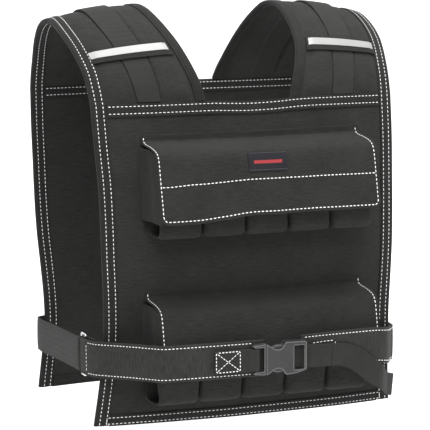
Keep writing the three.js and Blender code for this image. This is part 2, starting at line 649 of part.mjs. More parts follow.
// Half width and centre of a pouch, and the line where the side gussets stand
const pouchPitch = pouchRowWidth / 5;
for (const row of pocketRows) {
  const at = (s, k) => flapPoint(row, s, k);
  put(`${row.row}_flap`, slab(at, steps(-1, 1, 8), flapSteps, [0, -flapThick], -1), cloth);

  // Side gussets between panel and flap
  for (const [side, sign] of [['left', -1], ['right', 1]]) {
    const x = pocketCentre + sign * (flapWidth / 2 + gussetOut);
    const sewn = row.flapTop * panelHeight;
    const levels = [4, 5, 6, 7, 8, 9];
    const frames = levels.map((k) => {
      const n = normalAt(at, sign, k, -1);
      const front = at(sign, k).addScaledVector(n, -flapThick - 2 * gap);
      return { front, z: front.z };
    });
    const low = V(0, frames[5].front.y, sewn - flapDrop * 1.08);
    frames.push({ front: low, z: low.z });
    const points = [];
    for (const f of frames) {
      const back = faceY(x, f.z) - gap;
      const splay = (sign * gussetSplay * (f.front.y - back)) / flapReach;
      points.push(V(x - gussetThick / 2, back, f.z));
      points.push(V(x - gussetThick / 2 + splay, f.front.y, f.z));
      points.push(V(x + gussetThick / 2 + splay, f.front.y, f.z));
      points.push(V(x + gussetThick / 2, back, f.z));
    }
    const faces = [[0, 1, 2], [0, 2, 3]];
    for (let i = 0; i < frames.length - 1; i += 1) {
      for (let j = 0; j < 4; j += 1) {
        const k = (j + 1) % 4;
        const p = i * 4;
        faces.push([p + j, p + 4 + k, p + k]);
        faces.push([p + j, p + 4 + j, p + 4 + k]);
      }
    }
    const p = (frames.length - 1) * 4;
    faces.push([p, p + 2, p + 1]);
    faces.push([p, p + 3, p + 2]);
    put(`${side}_${row.row}_gusset`, solidFrom(points, faces), cloth);
  }

  // Five filled pouches
  const bottom = row.pouchBottom * panelHeight;
  const top = row.flapTop * panelHeight - 0.2 * flapDrop;
  for (let i = 0; i < 5; i += 1) {
    const centre = pocketCentre + (i - 2) * pouchPitch;
    const half = (pouchPitch - pouchGap) / 2;
    const points = [];
    const faces = [];
    const count = pouchOutline.length;
    for (const s of pouchSections) {
      const z = bottom + s.up * (top - bottom);
      const front = faceY(pocketCentre + pouchRowWidth / 2, z) - s.depth * pouchDepth;
      for (const o of pouchOutline) {
        const x = centre + o.side * half * (1 - 2 * s.inset);
        const back = faceY(x, z) - gap;
        points.push(V(x, back + (front - back) * o.out, z));
      }
    }
    for (let r = 0; r < pouchSections.length - 1; r += 1) {
      for (let j = 0; j < count; j += 1) {
        const k = (j + 1) % count;
        const p = r * count;
        faces.push([p + j, p + count + k, p + k]);
        faces.push([p + j, p + count + j, p + count + k]);
      }
    }
    const last = (pouchSections.length - 1) * count;
    for (let j = 0; j < count - 2; j += 1) {
      faces.push([count - 1, j, j + 1]);
      faces.push([last + count - 1, last + j + 1, last + j]);
    }
    put(`${row.row}_pouch_${i + 1}`, solidFrom(points, faces), cloth);
  }
}

// Blank woven label on the upper flap
const labelWidth = 44;
const labelAt = (s, k) => flapPoint(pocketRows[0], (s * labelWidth) / flapWidth - 0.03, k);
put('label_patch', slab(labelAt, steps(-1, 1, 2), [6.0, 6.75, 7.5], [gap, gap + 0.6], -1), patch);

// Strap laid along a path seen from above, standing on edge
function beltFrames(path, height, count, lift) {
  const points = path.map((s) => V(
    s.x * halfWidth + (s.flap * flapWidth) / 2 + (s.socket || 0) * femaleLength,
    s.y * vestDepth - s.ahead * pocketOut,
    height + s.rise * beltWidth,
  ));
  const curve = new THREE.CatmullRomCurve3(points, false, 'centripetal');
  return curve.getSpacedPoints(count).map((e, i) => {
    const t = curve.getTangentAt(i / count);
    const n = V(t.y, -t.x, 0).normalize();
    const a = n.clone().cross(t).normalize();
    return { e: e.clone().addScaledVector(n, lift), a, n };
  });
}
function stripSection(width, thick) {
  return [
    [-width / 2, -thick / 2],
    [width / 2, -thick / 2],
    [width / 2, thick / 2],
    [-width / 2, thick / 2],
  ];
}

// Hairpin at the start of a strap, back along its own inner side round a bar
function hairpin(frames, radius, length, count) {
  const first = frames[0];
  const ahead = frames[1].e.clone().sub(first.e).normalize();
  const centre = first.e.clone().addScaledVector(first.n, -radius);
  const turned = [];
  turned.push({ e: centre.clone().addScaledVector(first.n, -radius).addScaledVector(ahead, length),
    a: first.a, n: first.n.clone().negate() });
  for (let i = 0; i < count; i += 1) {
    const angle = (Math.PI * i) / count;
    const n = first.n.clone().multiplyScalar(-Math.cos(angle)).addScaledVector(ahead, -Math.sin(angle));
    turned.push({ e: centre.clone().addScaledVector(n, radius), a: first.a, n });
  }
  return turned.concat(frames);
}

// Padded belt from the ring to the buckle, looped through the ring
const ringLoop = ringWire / 2 + beltGap + beltThick / 2;
const leftBelt = hairpin(beltFrames(leftBeltPath, beltHeight, 26, 0), ringLoop, loopReturn, 6);
put('belt_left', sweep(stripSection(beltWidth, beltThick), leftBelt), web);

// Padded belt from the buckle round the right side onto the back
const rightBelt = beltFrames(rightBeltPath, beltHeight, 36, 0);
put('belt_right', sweep(stripSection(beltWidth, beltThick), rightBelt), web);

// Plain strap from the ring round the back
const backLoop = ringWire / 2 + beltGap + backStrapThick / 2;
const backStrap = beltFrames(backStrapPath, beltHeight, 36, 0).map(({ e, a, n }) => ({
  e,
  a,
  n: n.clone().negate(),
}));
const backTurned = hairpin(backStrap, backLoop, loopReturn, 6);
put('belt_back', sweep(stripSection(backStrapWidth, backStrapThick), backTurned), greyWeb);

// Wire ring between the two straps
const ringFront = leftBelt[7].e.clone().addScaledVector(leftBelt[7].n, -ringLoop);
const ringBack = backTurned[7].e.clone().addScaledVector(backTurned[7].n, -backLoop);
const ringMid = ringFront.clone().lerp(ringBack, 0.5);
const ringAlong = ringBack.clone().sub(ringFront).setZ(0).normalize();
const ringHalf = (ringHeight - ringWire) / 2;
const reach = ringBack.clone().sub(ringFront).setZ(0).length() / 2;
const ringPoints = [];
for (const [sy, sz] of [[1, 1], [-1, 1], [-1, -1], [1, -1]]) {
  const corner = 0.75 * ringWire;
  const from = sy * sz > 0 ? 0 : 1;
  for (const q of [0, 0.5, 1]) {
    const angle = ((from ? 1 - q : q) * Math.PI) / 2;
    const y = sy * (reach - corner + corner * Math.cos(angle));
    const z = sz * (ringHalf - corner + corner * Math.sin(angle));
    ringPoints.push(ringMid.clone().addScaledVector(ringAlong, y).add(V(0, 0, z)));
  }
}
const ringAcross = ringAlong.clone().cross(V(0, 0, 1)).normalize();
const ringVerts = [];
const ringFaces = [];
const wireSides = 8;
ringPoints.forEach((p, i) => {
  const before = ringPoints[(i + ringPoints.length - 1) % ringPoints.length];
  const after = ringPoints[(i + 1) % ringPoints.length];
  const t = after.clone().sub(before).normalize();
  const side = t.clone().cross(ringAcross).normalize();
  for (let j = 0; j < wireSides; j += 1) {
    const angle = (2 * Math.PI * j) / wireSides;
    ringVerts.push(p.clone()
      .addScaledVector(side, (Math.cos(angle) * ringWire) / 2)
      .addScaledVector(ringAcross, (Math.sin(angle) * ringWire) / 2));
  }
});
for (let i = 0; i < ringPoints.length; i += 1) {
  const p = i * wireSides;
  const q = ((i + 1) % ringPoints.length) * wireSides;
  for (let j = 0; j < wireSides; j += 1) {
    const k = (j + 1) % wireSides;
    ringFaces.push([p + j, q + k, p + k]);
    ringFaces.push([p + j, q + j, q + k]);
  }
}
put('side_ring', solidFrom(ringVerts, ringFaces), chrome);

// Buckle: where it sits on the belt
const buckleX = -0.100 * halfWidth;
const buckleZ = beltHeight + 0.04 * beltWidth;
const buckleBack = beltLineY - beltThick / 2 - gap;
const buckleY = buckleBack - buckleThick / 2;
const prongThick = 0.46 * buckleThick;

// Socket
const outline = femaleOutline.map((o) => [o.along * femaleLength, o.top * buckleHeight]);
for (let i = femaleOutline.length - 1; i >= 0; i -= 1) {
  outline.push([femaleOutline[i].along * femaleLength, femaleOutline[i].bottom * buckleHeight]);
}
function plate(points, thick) {
  const shape = new THREE.Shape(points.map(([x, z]) => new THREE.Vector2(x, z)));
  const geometry = new THREE.ExtrudeGeometry(shape, { depth: thick, bevelEnabled: false });
  geometry.translate(0, 0, -thick / 2);
  geometry.rotateX(Math.PI / 2);
  return geometry;
}
const slotFrom = 0.685 * femaleLength;
const slotTo = 0.955 * femaleLength;
const slotTop = 0.385 * buckleHeight;
const slotLow = -0.385 * buckleHeight;
const socketDeep = 0.45 * femaleLength;
const socketHalf = 0.42 * buckleHeight;
const female = toManifold(plate(outline, buckleThick))
  .subtract(toManifold(boxAt(slotFrom, slotTo, -buckleThick, buckleThick, slotLow, slotTop)))
  .subtract(toManifold(boxAt(-1, socketDeep, -prongThick / 2 - gap, prongThick / 2 + gap,
    -socketHalf - gap, socketHalf + gap)))
  .subtract(toManifold(boxAt(slotTo - 0.1, femaleLength + 1, -buckleThick * 0.05, buckleThick,
    -buckleHeight, buckleHeight)));
const femaleShape = fromManifold(female);
femaleShape.translate(buckleX, buckleY, buckleZ);
put('buckle_socket', femaleShape, plastic);

// Plug: arms, bar, base plate, two side prongs with their press pads
const armTop = 0.49 * buckleHeight;
const armLow = 0.385 * buckleHeight;
const armThick = 0.62 * buckleThick;
const prongFrom = -0.10 * maleReach;
let male = toManifold(boxAt(-maleReach * 0.22, -gap, -armThick / 2, armThick / 2, -armTop, armTop));
for (const sign of [1, -1]) {
  const arm = [
    [-maleReach, sign * armLow * 1.08],
    [-gap, sign * armLow],
    [-gap, sign * armTop],
    [-maleReach * 0.85, sign * (armLow + armTop) * 0.52],
  ];
  male = male.add(toManifold(plate(sign > 0 ? arm : arm.reverse(), armThick)));
  const prong = [
    [prongFrom, sign * 0.20 * buckleHeight],
    [socketDeep - 2 * gap, sign * 0.20 * buckleHeight],
    [socketDeep - 2 * gap, sign * 0.395 * buckleHeight],
    [0.33 * femaleLength, sign * 0.415 * buckleHeight],
    [0.17 * femaleLength, sign * 0.375 * buckleHeight],
    [0.12 * femaleLength, sign * 0.33 * buckleHeight],
    [prongFrom, sign * 0.33 * buckleHeight],
  ];
  male = male.add(toManifold(plate(sign > 0 ? prong : prong.reverse(), prongThick)));
}
const barX = -0.60 * maleReach;
const bar = new THREE.CylinderGeometry(barRadius, barRadius, 1.94 * armTop, 10);
bar.rotateX(Math.PI / 2);
bar.translate(barX, 0, 0);
male = male.add(toManifold(bar));
const maleShape = fromManifold(male);
maleShape.translate(buckleX, buckleY, buckleZ);
put('buckle_plug', maleShape, plastic);

// Webbing from the stitched box round the plug's bar
const loopR = barRadius + gap + webbingThick / 2;
const topY = beltLineY - beltThick / 2 - gap - webbingThick - gap - webbingThick / 2;
const lowY = topY + webbingThick + gap;
const barAt = V(buckleX + barX, buckleY, buckleZ);
const boxFrom = -0.425 * halfWidth;
const loopPath = [
  V(boxFrom + 0.2 * loopLead, lowY, buckleZ),
  V(barAt.x - loopLead, lowY, buckleZ),
  V(barAt.x - loopLead / 2, lowY + 0.5 * (barAt.y + loopR - lowY), buckleZ),
];
for (const angle of steps(-90, 90, 6)) {
  const r = (angle * Math.PI) / 180;
  loopPath.push(V(barAt.x + loopR * Math.cos(r), barAt.y - loopR * Math.sin(r), buckleZ));
}
loopPath.push(V(barAt.x - loopLead / 2, topY + 0.5 * (barAt.y - loopR - topY), buckleZ));
loopPath.push(V(barAt.x - loopLead, topY, buckleZ));
loopPath.push(V(boxFrom, topY, buckleZ));
const loopFrames = loopPath.map((e, i) => {
  const before = loopPath[Math.max(0, i - 1)];
  const after = loopPath[Math.min(loopPath.length - 1, i + 1)];
  const t = after.clone().sub(before).normalize();
  return { e, a: V(0, 0, 1), n: V(t.y, -t.x, 0) };
});
put('buckle_webbing', sweep(stripSection(webbingWidth - 1, webbingThick), loopFrames), web);

// Loose end of the webbing, from the socket's slot over the right belt
const tail = beltFrames(tailPath, beltHeight, 24, 0);
put('webbing_tail', sweep(stripSection(webbingWidth - 1, webbingThick), tail), web);

export default group;
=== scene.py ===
import math

import bmesh
import bpy
import numpy as np
from mathutils import Matrix, Vector


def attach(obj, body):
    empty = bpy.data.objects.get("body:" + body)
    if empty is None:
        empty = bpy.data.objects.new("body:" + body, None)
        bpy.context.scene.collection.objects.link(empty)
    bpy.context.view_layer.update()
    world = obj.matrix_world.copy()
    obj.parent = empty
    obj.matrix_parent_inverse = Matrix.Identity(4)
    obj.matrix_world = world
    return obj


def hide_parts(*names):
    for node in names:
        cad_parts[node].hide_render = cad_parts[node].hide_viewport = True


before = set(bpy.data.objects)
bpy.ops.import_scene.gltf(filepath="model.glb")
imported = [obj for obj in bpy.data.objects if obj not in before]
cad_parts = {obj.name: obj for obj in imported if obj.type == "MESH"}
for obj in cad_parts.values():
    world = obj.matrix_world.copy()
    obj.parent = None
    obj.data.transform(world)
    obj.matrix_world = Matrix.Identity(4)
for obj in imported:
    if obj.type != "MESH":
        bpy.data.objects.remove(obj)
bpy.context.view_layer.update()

# The vest is drawn in millimetres with z = 0 at the bottom hem, then placed in the row frame
MM = 0.001
SEAT = np.array([0.0, 20.0, 437.3])

PANEL_WIDTH, PANEL_HEIGHT, DEPTH = 350.0, 344.3, 200.0
NECK_RISE, OUTER_RISE, SHELL = 96.0, 82.0, 3.0
GAP, TAPE_THICK = 0.4, 1.2
FOLD = GAP + TAPE_THICK
HALF = PANEL_WIDTH / 2 - FOLD
WEB_WIDTH, WEB_THICK, WEB_FLARE = 25.0, 1.6, 1.18
POCKET_X, FLAP_WIDTH, FLAP_REACH, FLAP_DROP, FLAP_THICK = 2.0, 252.0, 62.0, 83.0, 2.0
POUCH_ROW, POUCH_DEPTH = 246.0, 38.0
BELT_WIDTH, BELT_THICK, BELT_Z = 39.0, 3.0, 80.0
RNG = np.random.default_rng(7)


def table(names, rows):
    return dict(zip(names, np.array(rows, float).T))


# Outlines of the two panels by height: half width, depth of the edge and bulge, as shares of HALF and DEPTH
FRONT = table(("height", "half", "edge", "bulge"), [
    (0, 1, -0.48, 0.055), (0.12, 0.976, -0.508, 0.062), (0.23, 0.962, -0.537, 0.068),
    (0.31, 0.958, -0.544, 0.07), (0.41, 0.962, -0.553, 0.072), (0.52, 0.97, -0.554, 0.075),
    (0.64, 0.974, -0.547, 0.078), (0.76, 0.979, -0.53, 0.08), (0.87, 0.99, -0.502, 0.074),
    (1, 0.998, -0.464, 0.066)])
BACK = table(("height", "half", "edge", "bulge"), [
    (0, 1, 0.493, 0.064), (0.12, 0.976, 0.482, 0.062), (0.21, 0.962, 0.468, 0.06),
    (0.3, 0.958, 0.488, 0.058), (0.41, 0.962, 0.532, 0.054), (0.52, 0.97, 0.574, 0.048),
    (0.64, 0.974, 0.602, 0.042), (0.76, 0.979, 0.61, 0.036), (0.87, 0.99, 0.6, 0.032),
    (1, 0.998, 0.588, 0.028)])
# Neck and outer edge of the right strap, from front to back, in the same shares
STRAP = table(("rise", "neck_x", "neck_y", "outer_x", "outer_y"), [
    (0, 0.287, -0.53, 0.998, -0.464), (0.2, 0.313, -0.508, 1.004, -0.43),
    (0.4, 0.352, -0.464, 1.012, -0.382), (0.6, 0.392, -0.385, 1.03, -0.302),
    (0.75, 0.418, -0.275, 1.045, -0.214), (0.88, 0.439, -0.145, 1.055, -0.1),
    (0.97, 0.454, -0.02, 1.056, 0.01), (1, 0.462, 0.1, 1.052, 0.105),
    (0.97, 0.454, 0.215, 1.056, 0.2), (0.88, 0.439, 0.3, 1.055, 0.28),
    (0.75, 0.418, 0.388, 1.045, 0.356), (0.6, 0.392, 0.46, 1.03, 0.43),
    (0.4, 0.352, 0.52, 1.012, 0.506), (0.2, 0.313, 0.562, 1.004, 0.555),
    (0, 0.287, 0.588, 0.998, 0.588)])
# Profile of a flap: how far it stands out and drops at each k, and how far it follows a flat front
FLAP = table(("k", "out", "down", "flat"), [
    (0, 0, 0, 0), (0.75, 0.002, 0.056, 0.04), (1, 0.01, 0.069, 0.05),
    (1.25, 0.035, 0.079, 0.07), (2, 0.12, 0.097, 0.15),
    (3, 0.33, 0.11, 0.4), (4, 0.52, 0.13, 0.7), (5, 0.66, 0.16, 0.9),
    (6, 0.745, 0.215, 1), (7, 0.8, 0.32, 1), (8, 0.87, 0.56, 1),
    (9, 0.94, 0.8, 1), (10, 1, 1, 1)])
WAVE = table(("across", "lift"), [
    (-1, 0), (-0.7, -0.006), (-0.45, 0.006), (-0.2, 0.034), (0.05, 0.03),
    (0.4, 0.018), (1, 0)])
# Pocket rows: sewn edge and pouch bottoms as shares of PANEL_HEIGHT, and the share of the flap's reach
ROWS = {"upper": (0.908, 0.604, 1.0), "lower": (0.428, 0.08, 0.92)}
POCKET_OUT = FLAP_REACH * 0.92 + FLAP_THICK + GAP
# Belt paths: x as shares of HALF and of half a flap, depth as shares of DEPTH and POCKET_OUT, height in belt widths
LEFT_BELT = [
    (-1.052, 0, -0.415, 0, -0.08), (-1.044, 0, -0.48, 0, -0.08),
    (-1.018, 0, -0.545, 0, -0.07), (-0.965, 0, -0.58, 0.101, -0.05),
    (-0.603, -0.36, -0.59, 0.488, 0), (-0.199, -0.8, -0.6, 0.801, 0.03),
    (0, -1.002, -0.6, 1.003, 0.05), (0, -0.881, -0.6, 1.063, 0.06),
    (-0.4, 0, -0.6, 1.11, 0.06), (-0.095, 0, -0.6, 1.131, 0.05)]
RIGHT_BELT = [
    (0.15, 0, -0.6, 1.131, 0.09), (0.4, 0, -0.6, 1.117, 0.11),
    (0, 0.895, -0.6, 1.077, 0.11), (0, 1.011, -0.6, 1.026, 0.07),
    (0.209, 0.8, -0.6, 0.841, -0.01), (0.598, 0.36, -0.59, 0.505, -0.13),
    (0.935, 0, -0.58, 0.135, -0.24), (0.982, 0, -0.562, 0, -0.27),
    (1, 0, -0.48, 0, -0.28), (1.006, 0, -0.3, 0, -0.29),
    (1.01, 0, 0, 0, -0.32), (1.012, 0, 0.3, 0, -0.36),
    (1.012, 0, 0.45, 0, -0.37), (0.992, 0, 0.535, 0, -0.38),
    (0.93, 0, 0.566, 0, -0.38), (0.8, 0, 0.58, 0, -0.38)]
BACK_STRAP = [
    (-1.05, 0, -0.35, 0, -0.09), (-1.044, 0, -0.2, 0, -0.14), (-1.034, 0, 0.05, 0, -0.22),
    (-1.026, 0, 0.3, 0, -0.32), (-1.018, 0, 0.43, 0, -0.36), (-0.996, 0, 0.505, 0, -0.38),
    (-0.93, 0, 0.532, 0, -0.38), (-0.7, 0, 0.552, 0, -0.38), (-0.35, 0, 0.572, 0, -0.38),
    (0, 0, 0.578, 0, -0.38), (0.35, 0, 0.572, 0, -0.38), (0.7, 0, 0.552, 0, -0.38),
    (0.945, 0, 0.53, 0, -0.38)]
TAIL = [
    (0.088, 0, -0.6, 1.218, 0.03), (0.22, 0, -0.6, 1.218, 0.02),
    (0.38, 0, -0.6, 1.201, -0.01), (0, 0.619, -0.6, 1.195, -0.06),
    (0, 0.695, -0.6, 1.188, -0.16), (0, 0.791, -0.6, 1.178, -0.38),
    (0, 0.888, -0.6, 1.158, -0.62), (0, 0.977, -0.6, 1.094, -0.82),
    (0.209, 0.8, -0.6, 0.774, -1.07), (0.603, 0.36, -0.59, 0.404, -1.28),
    (0.945, 0, -0.58, 0.202, -1.42)]


# Surfaces

def smooth(keys, values, at):
    """Smooth value of a table's column at a key, straight on past the ends."""
    at = np.asarray(at, float)
    slope = np.diff(values) / np.diff(keys)
    m = np.concatenate([slope[:1], (slope[:-1] + slope[1:]) / 2, slope[-1:]])
    i = np.clip(np.searchsorted(keys[1:], at, "left"), 0, len(keys) - 2)
    h = keys[i + 1] - keys[i]
    t = (at - keys[i]) / h
    c = np.clip(t, 0, 1)
    value = values[i] + (values[i + 1] - values[i]) * c * c * (3 - 2 * c)
    value = value + h * c * (1 - c) * ((1 - c) * m[i] - c * m[i + 1])
    return value + np.where(t < 0, m[i] * (at - keys[i]), 0) + np.where(
        t > 1, m[i + 1] * (at - keys[i + 1]), 0)


def unit(v):
    return v / np.linalg.norm(v, axis=-1, keepdims=True)


def ramp(x, a, b):
    t = np.clip((np.asarray(x, float) - a) / (b - a), 0, 1)
    return t * t * (3 - 2 * t)


def panel(tab, sign, u, v):
    u, v = np.broadcast_arrays(np.asarray(u, float), np.asarray(v, float))
    half = smooth(tab["height"], tab["half"], v) * HALF
    edge = smooth(tab["height"], tab["edge"], v) * DEPTH
    bulge = smooth(tab["height"], tab["bulge"], v) * DEPTH
    x, z = u * half, FOLD + v * (PANEL_HEIGHT - FOLD)
    soft = 0.30 * np.sin(x / 23 + z / 61 + sign) + 0.22 * np.sin(x / 41 - z / 27 + 2.1)
    soft = soft + 0.14 * np.sin(x / 11 + z / 17)
    return np.stack([x, edge + sign * bulge * (1 - u * u) + soft * (1 - u ** 4), z], -1)


def front_at(u, v):
    return panel(FRONT, -1, u, v)


def back_at(u, v):
    return panel(BACK, 1, u, v)


def on_front(x, z):
    """Point of the front panel's outer face at x, z."""
    v = (np.asarray(z, float) - FOLD) / (PANEL_HEIGHT - FOLD)
    half = smooth(FRONT["height"], FRONT["half"], v) * HALF
    p = front_at(np.asarray(x, float) / half, v)
    p[..., 1] -= SHELL / 2
    return p


def run_of(line):
    """Length along a line, at each of its points."""
    return np.concatenate([[0], np.cumsum(np.linalg.norm(np.diff(line, axis=0), axis=1))])


def resample(line, run, at):
    """Values along a line at given lengths."""
    return np.stack([np.interp(at, run, line[:, i]) for i in range(3)], -1)


def hermite(p1, p2, m1, m2, w):
    """Cubic from p1 to p2 with the slopes m1 and m2, at w from 0 to 1."""
    return p1 + m1 * w + (3 * (p2 - p1) - 2 * m1 - m2) * w ** 2 + (2 * (p1 - p2) + m1 + m2) * w ** 3


def catmull(points, t):
    """Catmull-Rom curve through points at t from 0 to 1, straight on past the ends."""
    t = np.asarray(t, float)
    n = len(points)
    c = np.clip(t, 0, 1) * (n - 1)
    i = np.minimum(np.floor(c).astype(int), n - 2)
    w = (c - i)[..., None]
    ext = np.vstack([2 * points[0] - points[1], points, 2 * points[-1] - points[-2]])
    p0, p1, p2, p3 = ext[i], ext[i + 1], ext[i + 2], ext[i + 3]
    return hermite(p1, p2, (p2 - p0) / 2, (p3 - p1) / 2, w)


NECK, OUTER = (
    np.stack([STRAP[f"{k}_x"] * HALF, STRAP[f"{k}_y"] * DEPTH, PANEL_HEIGHT + STRAP["rise"] * rise], -1)
    for k, rise in (("neck", NECK_RISE), ("outer", OUTER_RISE)))


def curve_at(points, t):
    t = np.asarray(t, float)
    base = catmull(points, t)
    low = catmull(points, 0.01) - catmull(points, 0.0)
    high = catmull(points, 1.0) - catmull(points, 0.99)
    return base + np.where(t < 0, t * 100, 0)[..., None] * low + np.where(
        t > 1, (t - 1) * 100, 0)[..., None] * high


def strap_at(u, t):
    """Right shoulder strap: u from 0 at the neck to 1 at the outer edge, t from the front to the back."""
    u, t = np.broadcast_arrays(np.asarray(u, float), np.asarray(t, float))
    neck, outer = curve_at(NECK, t), curve_at(OUTER, t)
    p = neck + (outer - neck) * u[..., None]
    n = unit(np.cross(outer - neck, curve_at(NECK, t + 1e-3) - curve_at(NECK, t - 1e-3)))
    end = np.minimum(t, 1 - t)
    p = p + n * (3.0 * 4 * u * (1 - u) * np.minimum(1, end * 12))[..., None]
    fade = np.maximum(0, 1 - end * 10)
    blend = fade * fade * (3 - 2 * fade)
    is_front = t < 0.5
    half = np.where(is_front, FRONT["half"][-1], BACK["half"][-1]) * HALF
    fy = front_at(p[..., 0] / half, 1.0)[..., 1]
    by = back_at(p[..., 0] / half, 1.0)[..., 1]
    line = np.where(is_front, NECK[0, 1] + (OUTER[0, 1] - NECK[0, 1]) * u,
                    NECK[-1, 1] + (OUTER[-1, 1] - NECK[-1, 1]) * u)
    p[..., 1] += (np.where(is_front, fy, by) - line) * blend
    return p


def normal_at(at, u, v, out):
    """Unit normal of a surface; out is 1 or -1, whichever points outward."""
    u, v = np.broadcast_arrays(np.asarray(u, float), np.asarray(v, float))
    d = 1e-3
    return out * unit(np.cross(at(u + d, v) - at(u - d, v), at(u, v + d) - at(u, v - d)))


# How far the profile runs on at the free edge, across the flap
SAG = np.array([(-1.0, 0.20), (-0.64, 0.16), (-0.47, 0.065), (-0.26, 0.01), (0.0, 0.0), (0.42, -0.09),
                (1.0, -0.11)]).T
HEM_CORNER = 7.0


def flap_at(row, s, k, lift=0.0, hem=True):
    """Point of a pocket flap: s across from -1 to 1, k down its profile, lift off its outer face.

    With hem, the two lower corners are rounded.
    """
    top, _, reach = ROWS[row]
    s, k = np.broadcast_arrays(np.asarray(s, float), np.asarray(k, float))
    k = k + np.interp(s, SAG[0], SAG[1]) * ramp(k, 7, 10)
    if hem:
        over = np.maximum(0, HEM_CORNER - (1 - np.abs(s)) * FLAP_WIDTH / 2)
        short = HEM_CORNER - np.sqrt(HEM_CORNER ** 2 - over ** 2)
        k = k - short / (0.2 * FLAP_DROP) * np.clip((k - 8) / 2, 0, 1)
    x = POCKET_X + s * FLAP_WIDTH / 2
    sewn = top * PANEL_HEIGHT
    out = smooth(FLAP["k"], FLAP["out"], k) * FLAP_REACH * reach
    down = smooth(FLAP["k"], FLAP["down"], k) * FLAP_DROP
    flat = np.clip(smooth(FLAP["k"], FLAP["flat"], k), 0, 1)
    wave = smooth(WAVE["across"], WAVE["lift"], s) * FLAP_DROP * np.maximum(0, (k - 4) / 6)
    own = on_front(x, sewn - np.minimum(down, 0.1 * FLAP_DROP))[..., 1]
    end = on_front(POCKET_X + FLAP_WIDTH / 2, sewn)[1] - 4.0 * (1 - s * s)
    soft = (0.5 * np.sin(x / 17 + k * 0.9) + 0.35 * np.sin(x / 9.5 - k * 1.3 + 1.0)) * ramp(k, 5, 9)
    y = own + (end - own) * flat - GAP - FLAP_THICK - out - soft
    p = np.stack([x, y, sewn - down + wave], -1)
    return p + flap_normal(row, s, k) * lift if lift else p


def flap_normal(row, s, k):
    return normal_at(lambda a, b: flap_at(row, a, b, 0.0, False), s, k, -1)


# Meshes

def place(p):
    return (np.asarray(p, float) - SEAT) * MM


def flip_x(p):
    q = np.array(p, float)
    q[..., 0] *= -1
    return q


def make(name, verts, faces, uv=None, material=None, sharp=40.0):
    """New object from points in millimetres, faces turned outward, with a UV per point in metres."""
    me = bpy.data.meshes.new(name)
    me.from_pydata(place(verts).tolist(), [], [list(map(int, f)) for f in faces])
    if uv is not None:
        layer = me.uv_layers.new(name="weave")
        index = np.zeros(len(me.loops), np.int32)
        me.loops.foreach_get("vertex_index", index)
        layer.data.foreach_set("uv", np.asarray(uv, np.float32)[index].ravel())
    bm = bmesh.new()
    bm.from_mesh(me)
    bmesh.ops.recalc_face_normals(bm, faces=bm.faces)
    bm.to_mesh(me)
    bm.free()
    me.shade_smooth()
    if sharp:
        me.set_sharp_from_angle(angle=math.radians(sharp))
    o = bpy.data.objects.new(name, me)
    bpy.context.scene.collection.objects.link(o)
    if material:
        me.materials.append(material)
    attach(o, "root")
    return o


def stand_for(node):
    """The piece replaces a CAD node, which is hidden."""
    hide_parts(node)


def grid_uv(p):
    """Lengths along the rows and columns of a grid of points, in metres."""
    du = np.linalg.norm(np.diff(p, axis=1), axis=-1)
    dv = np.linalg.norm(np.diff(p, axis=0), axis=-1)
    u = np.concatenate([np.zeros((len(p), 1)), np.cumsum(du, 1)], 1)
    v = np.concatenate([np.zeros((1, p.shape[1])), np.cumsum(dv, 0)], 0)
    u = u - u[:, -1:] / 2
    return np.stack([u, v], -1) * MM


def slab_mesh(low, high):
    """Points, faces and UVs of a closed slab between two grids of points."""
    rows, cols = low.shape[:2]
    a = np.arange(rows * cols).reshape(rows, cols)
    b = a + rows * cols
    q = lambda p, s, t, w: np.stack([p, s, t, w], -1).reshape(-1, 4)
    faces = [q(a[:-1, :-1], a[:-1, 1:], a[1:, 1:], a[1:, :-1]),
             q(b[:-1, :-1], b[1:, :-1], b[1:, 1:], b[:-1, 1:]),
             q(a[0, :-1], b[0, :-1], b[0, 1:], a[0, 1:]),
             q(a[-1, :-1], a[-1, 1:], b[-1, 1:], b[-1, :-1]),
             q(a[:-1, 0], a[1:, 0], b[1:, 0], b[:-1, 0]),
             q(a[:-1, -1], b[:-1, -1], b[1:, -1], a[1:, -1])]
    verts = np.concatenate([low.reshape(-1, 3), high.reshape(-1, 3)])
    uv = np.concatenate([grid_uv(high).reshape(-1, 2)] * 2)
    return verts, np.concatenate(faces), uv


def make_slab(name, low, high, material):
    v, f, uv = slab_mesh(low, high)
    return make(name, v, f, uv=uv, material=material)


def slab(name, at, us, vs, low, high, out, material, mirror=False, bevel=0.0):
    """Closed sheet between two offsets of a surface; low and high may be functions of u and v."""
    u, v = np.meshgrid(us, vs)
    n = normal_at(at, u, v, out)
    p = at(u, v)
    lo = low(u, v) if callable(low) else np.full(u.shape, float(low))
    hi = high(u, v) if callable(high) else np.full(u.shape, float(high))
    a, b = p + n * lo[..., None], p + n * hi[..., None]
    if mirror:
        a, b = flip_x(a), flip_x(b)
    o = make_slab(name, a, b, material)
    return soften(o, bevel) if bevel else o


def soften(o, width, segments=2, angle=50):
    m = o.modifiers.new("round", "BEVEL")
    m.width, m.segments, m.limit_method = width * MM, segments, "ANGLE"
    m.angle_limit = math.radians(angle)
    return o


def tube_faces(rows, cols):
    """Faces of a capped tube of rows of points."""
    i = np.arange(rows * cols).reshape(rows, cols)
    j = np.roll(i, -1, axis=1)
    faces = np.stack([i[:-1], j[:-1], j[1:], i[1:]], -1).reshape(-1, 4).tolist()
    return faces + [i[0].tolist(), i[-1][::-1].tolist()]


def sweep_mesh(section, e, a, n):
    """Points, faces and UVs of a closed section swept along frames."""
    section = np.asarray(section, float)
    pts = e[:, None] + a[:, None] * section[None, :, :1] + n[:, None] * section[None, :, 1:]
    uv = np.stack(np.broadcast_arrays(run_of(e)[:, None], section[None, :, 0]), -1)
    return pts.reshape(-1, 3), tube_faces(*pts.shape[:2]), uv.reshape(-1, 2) * MM


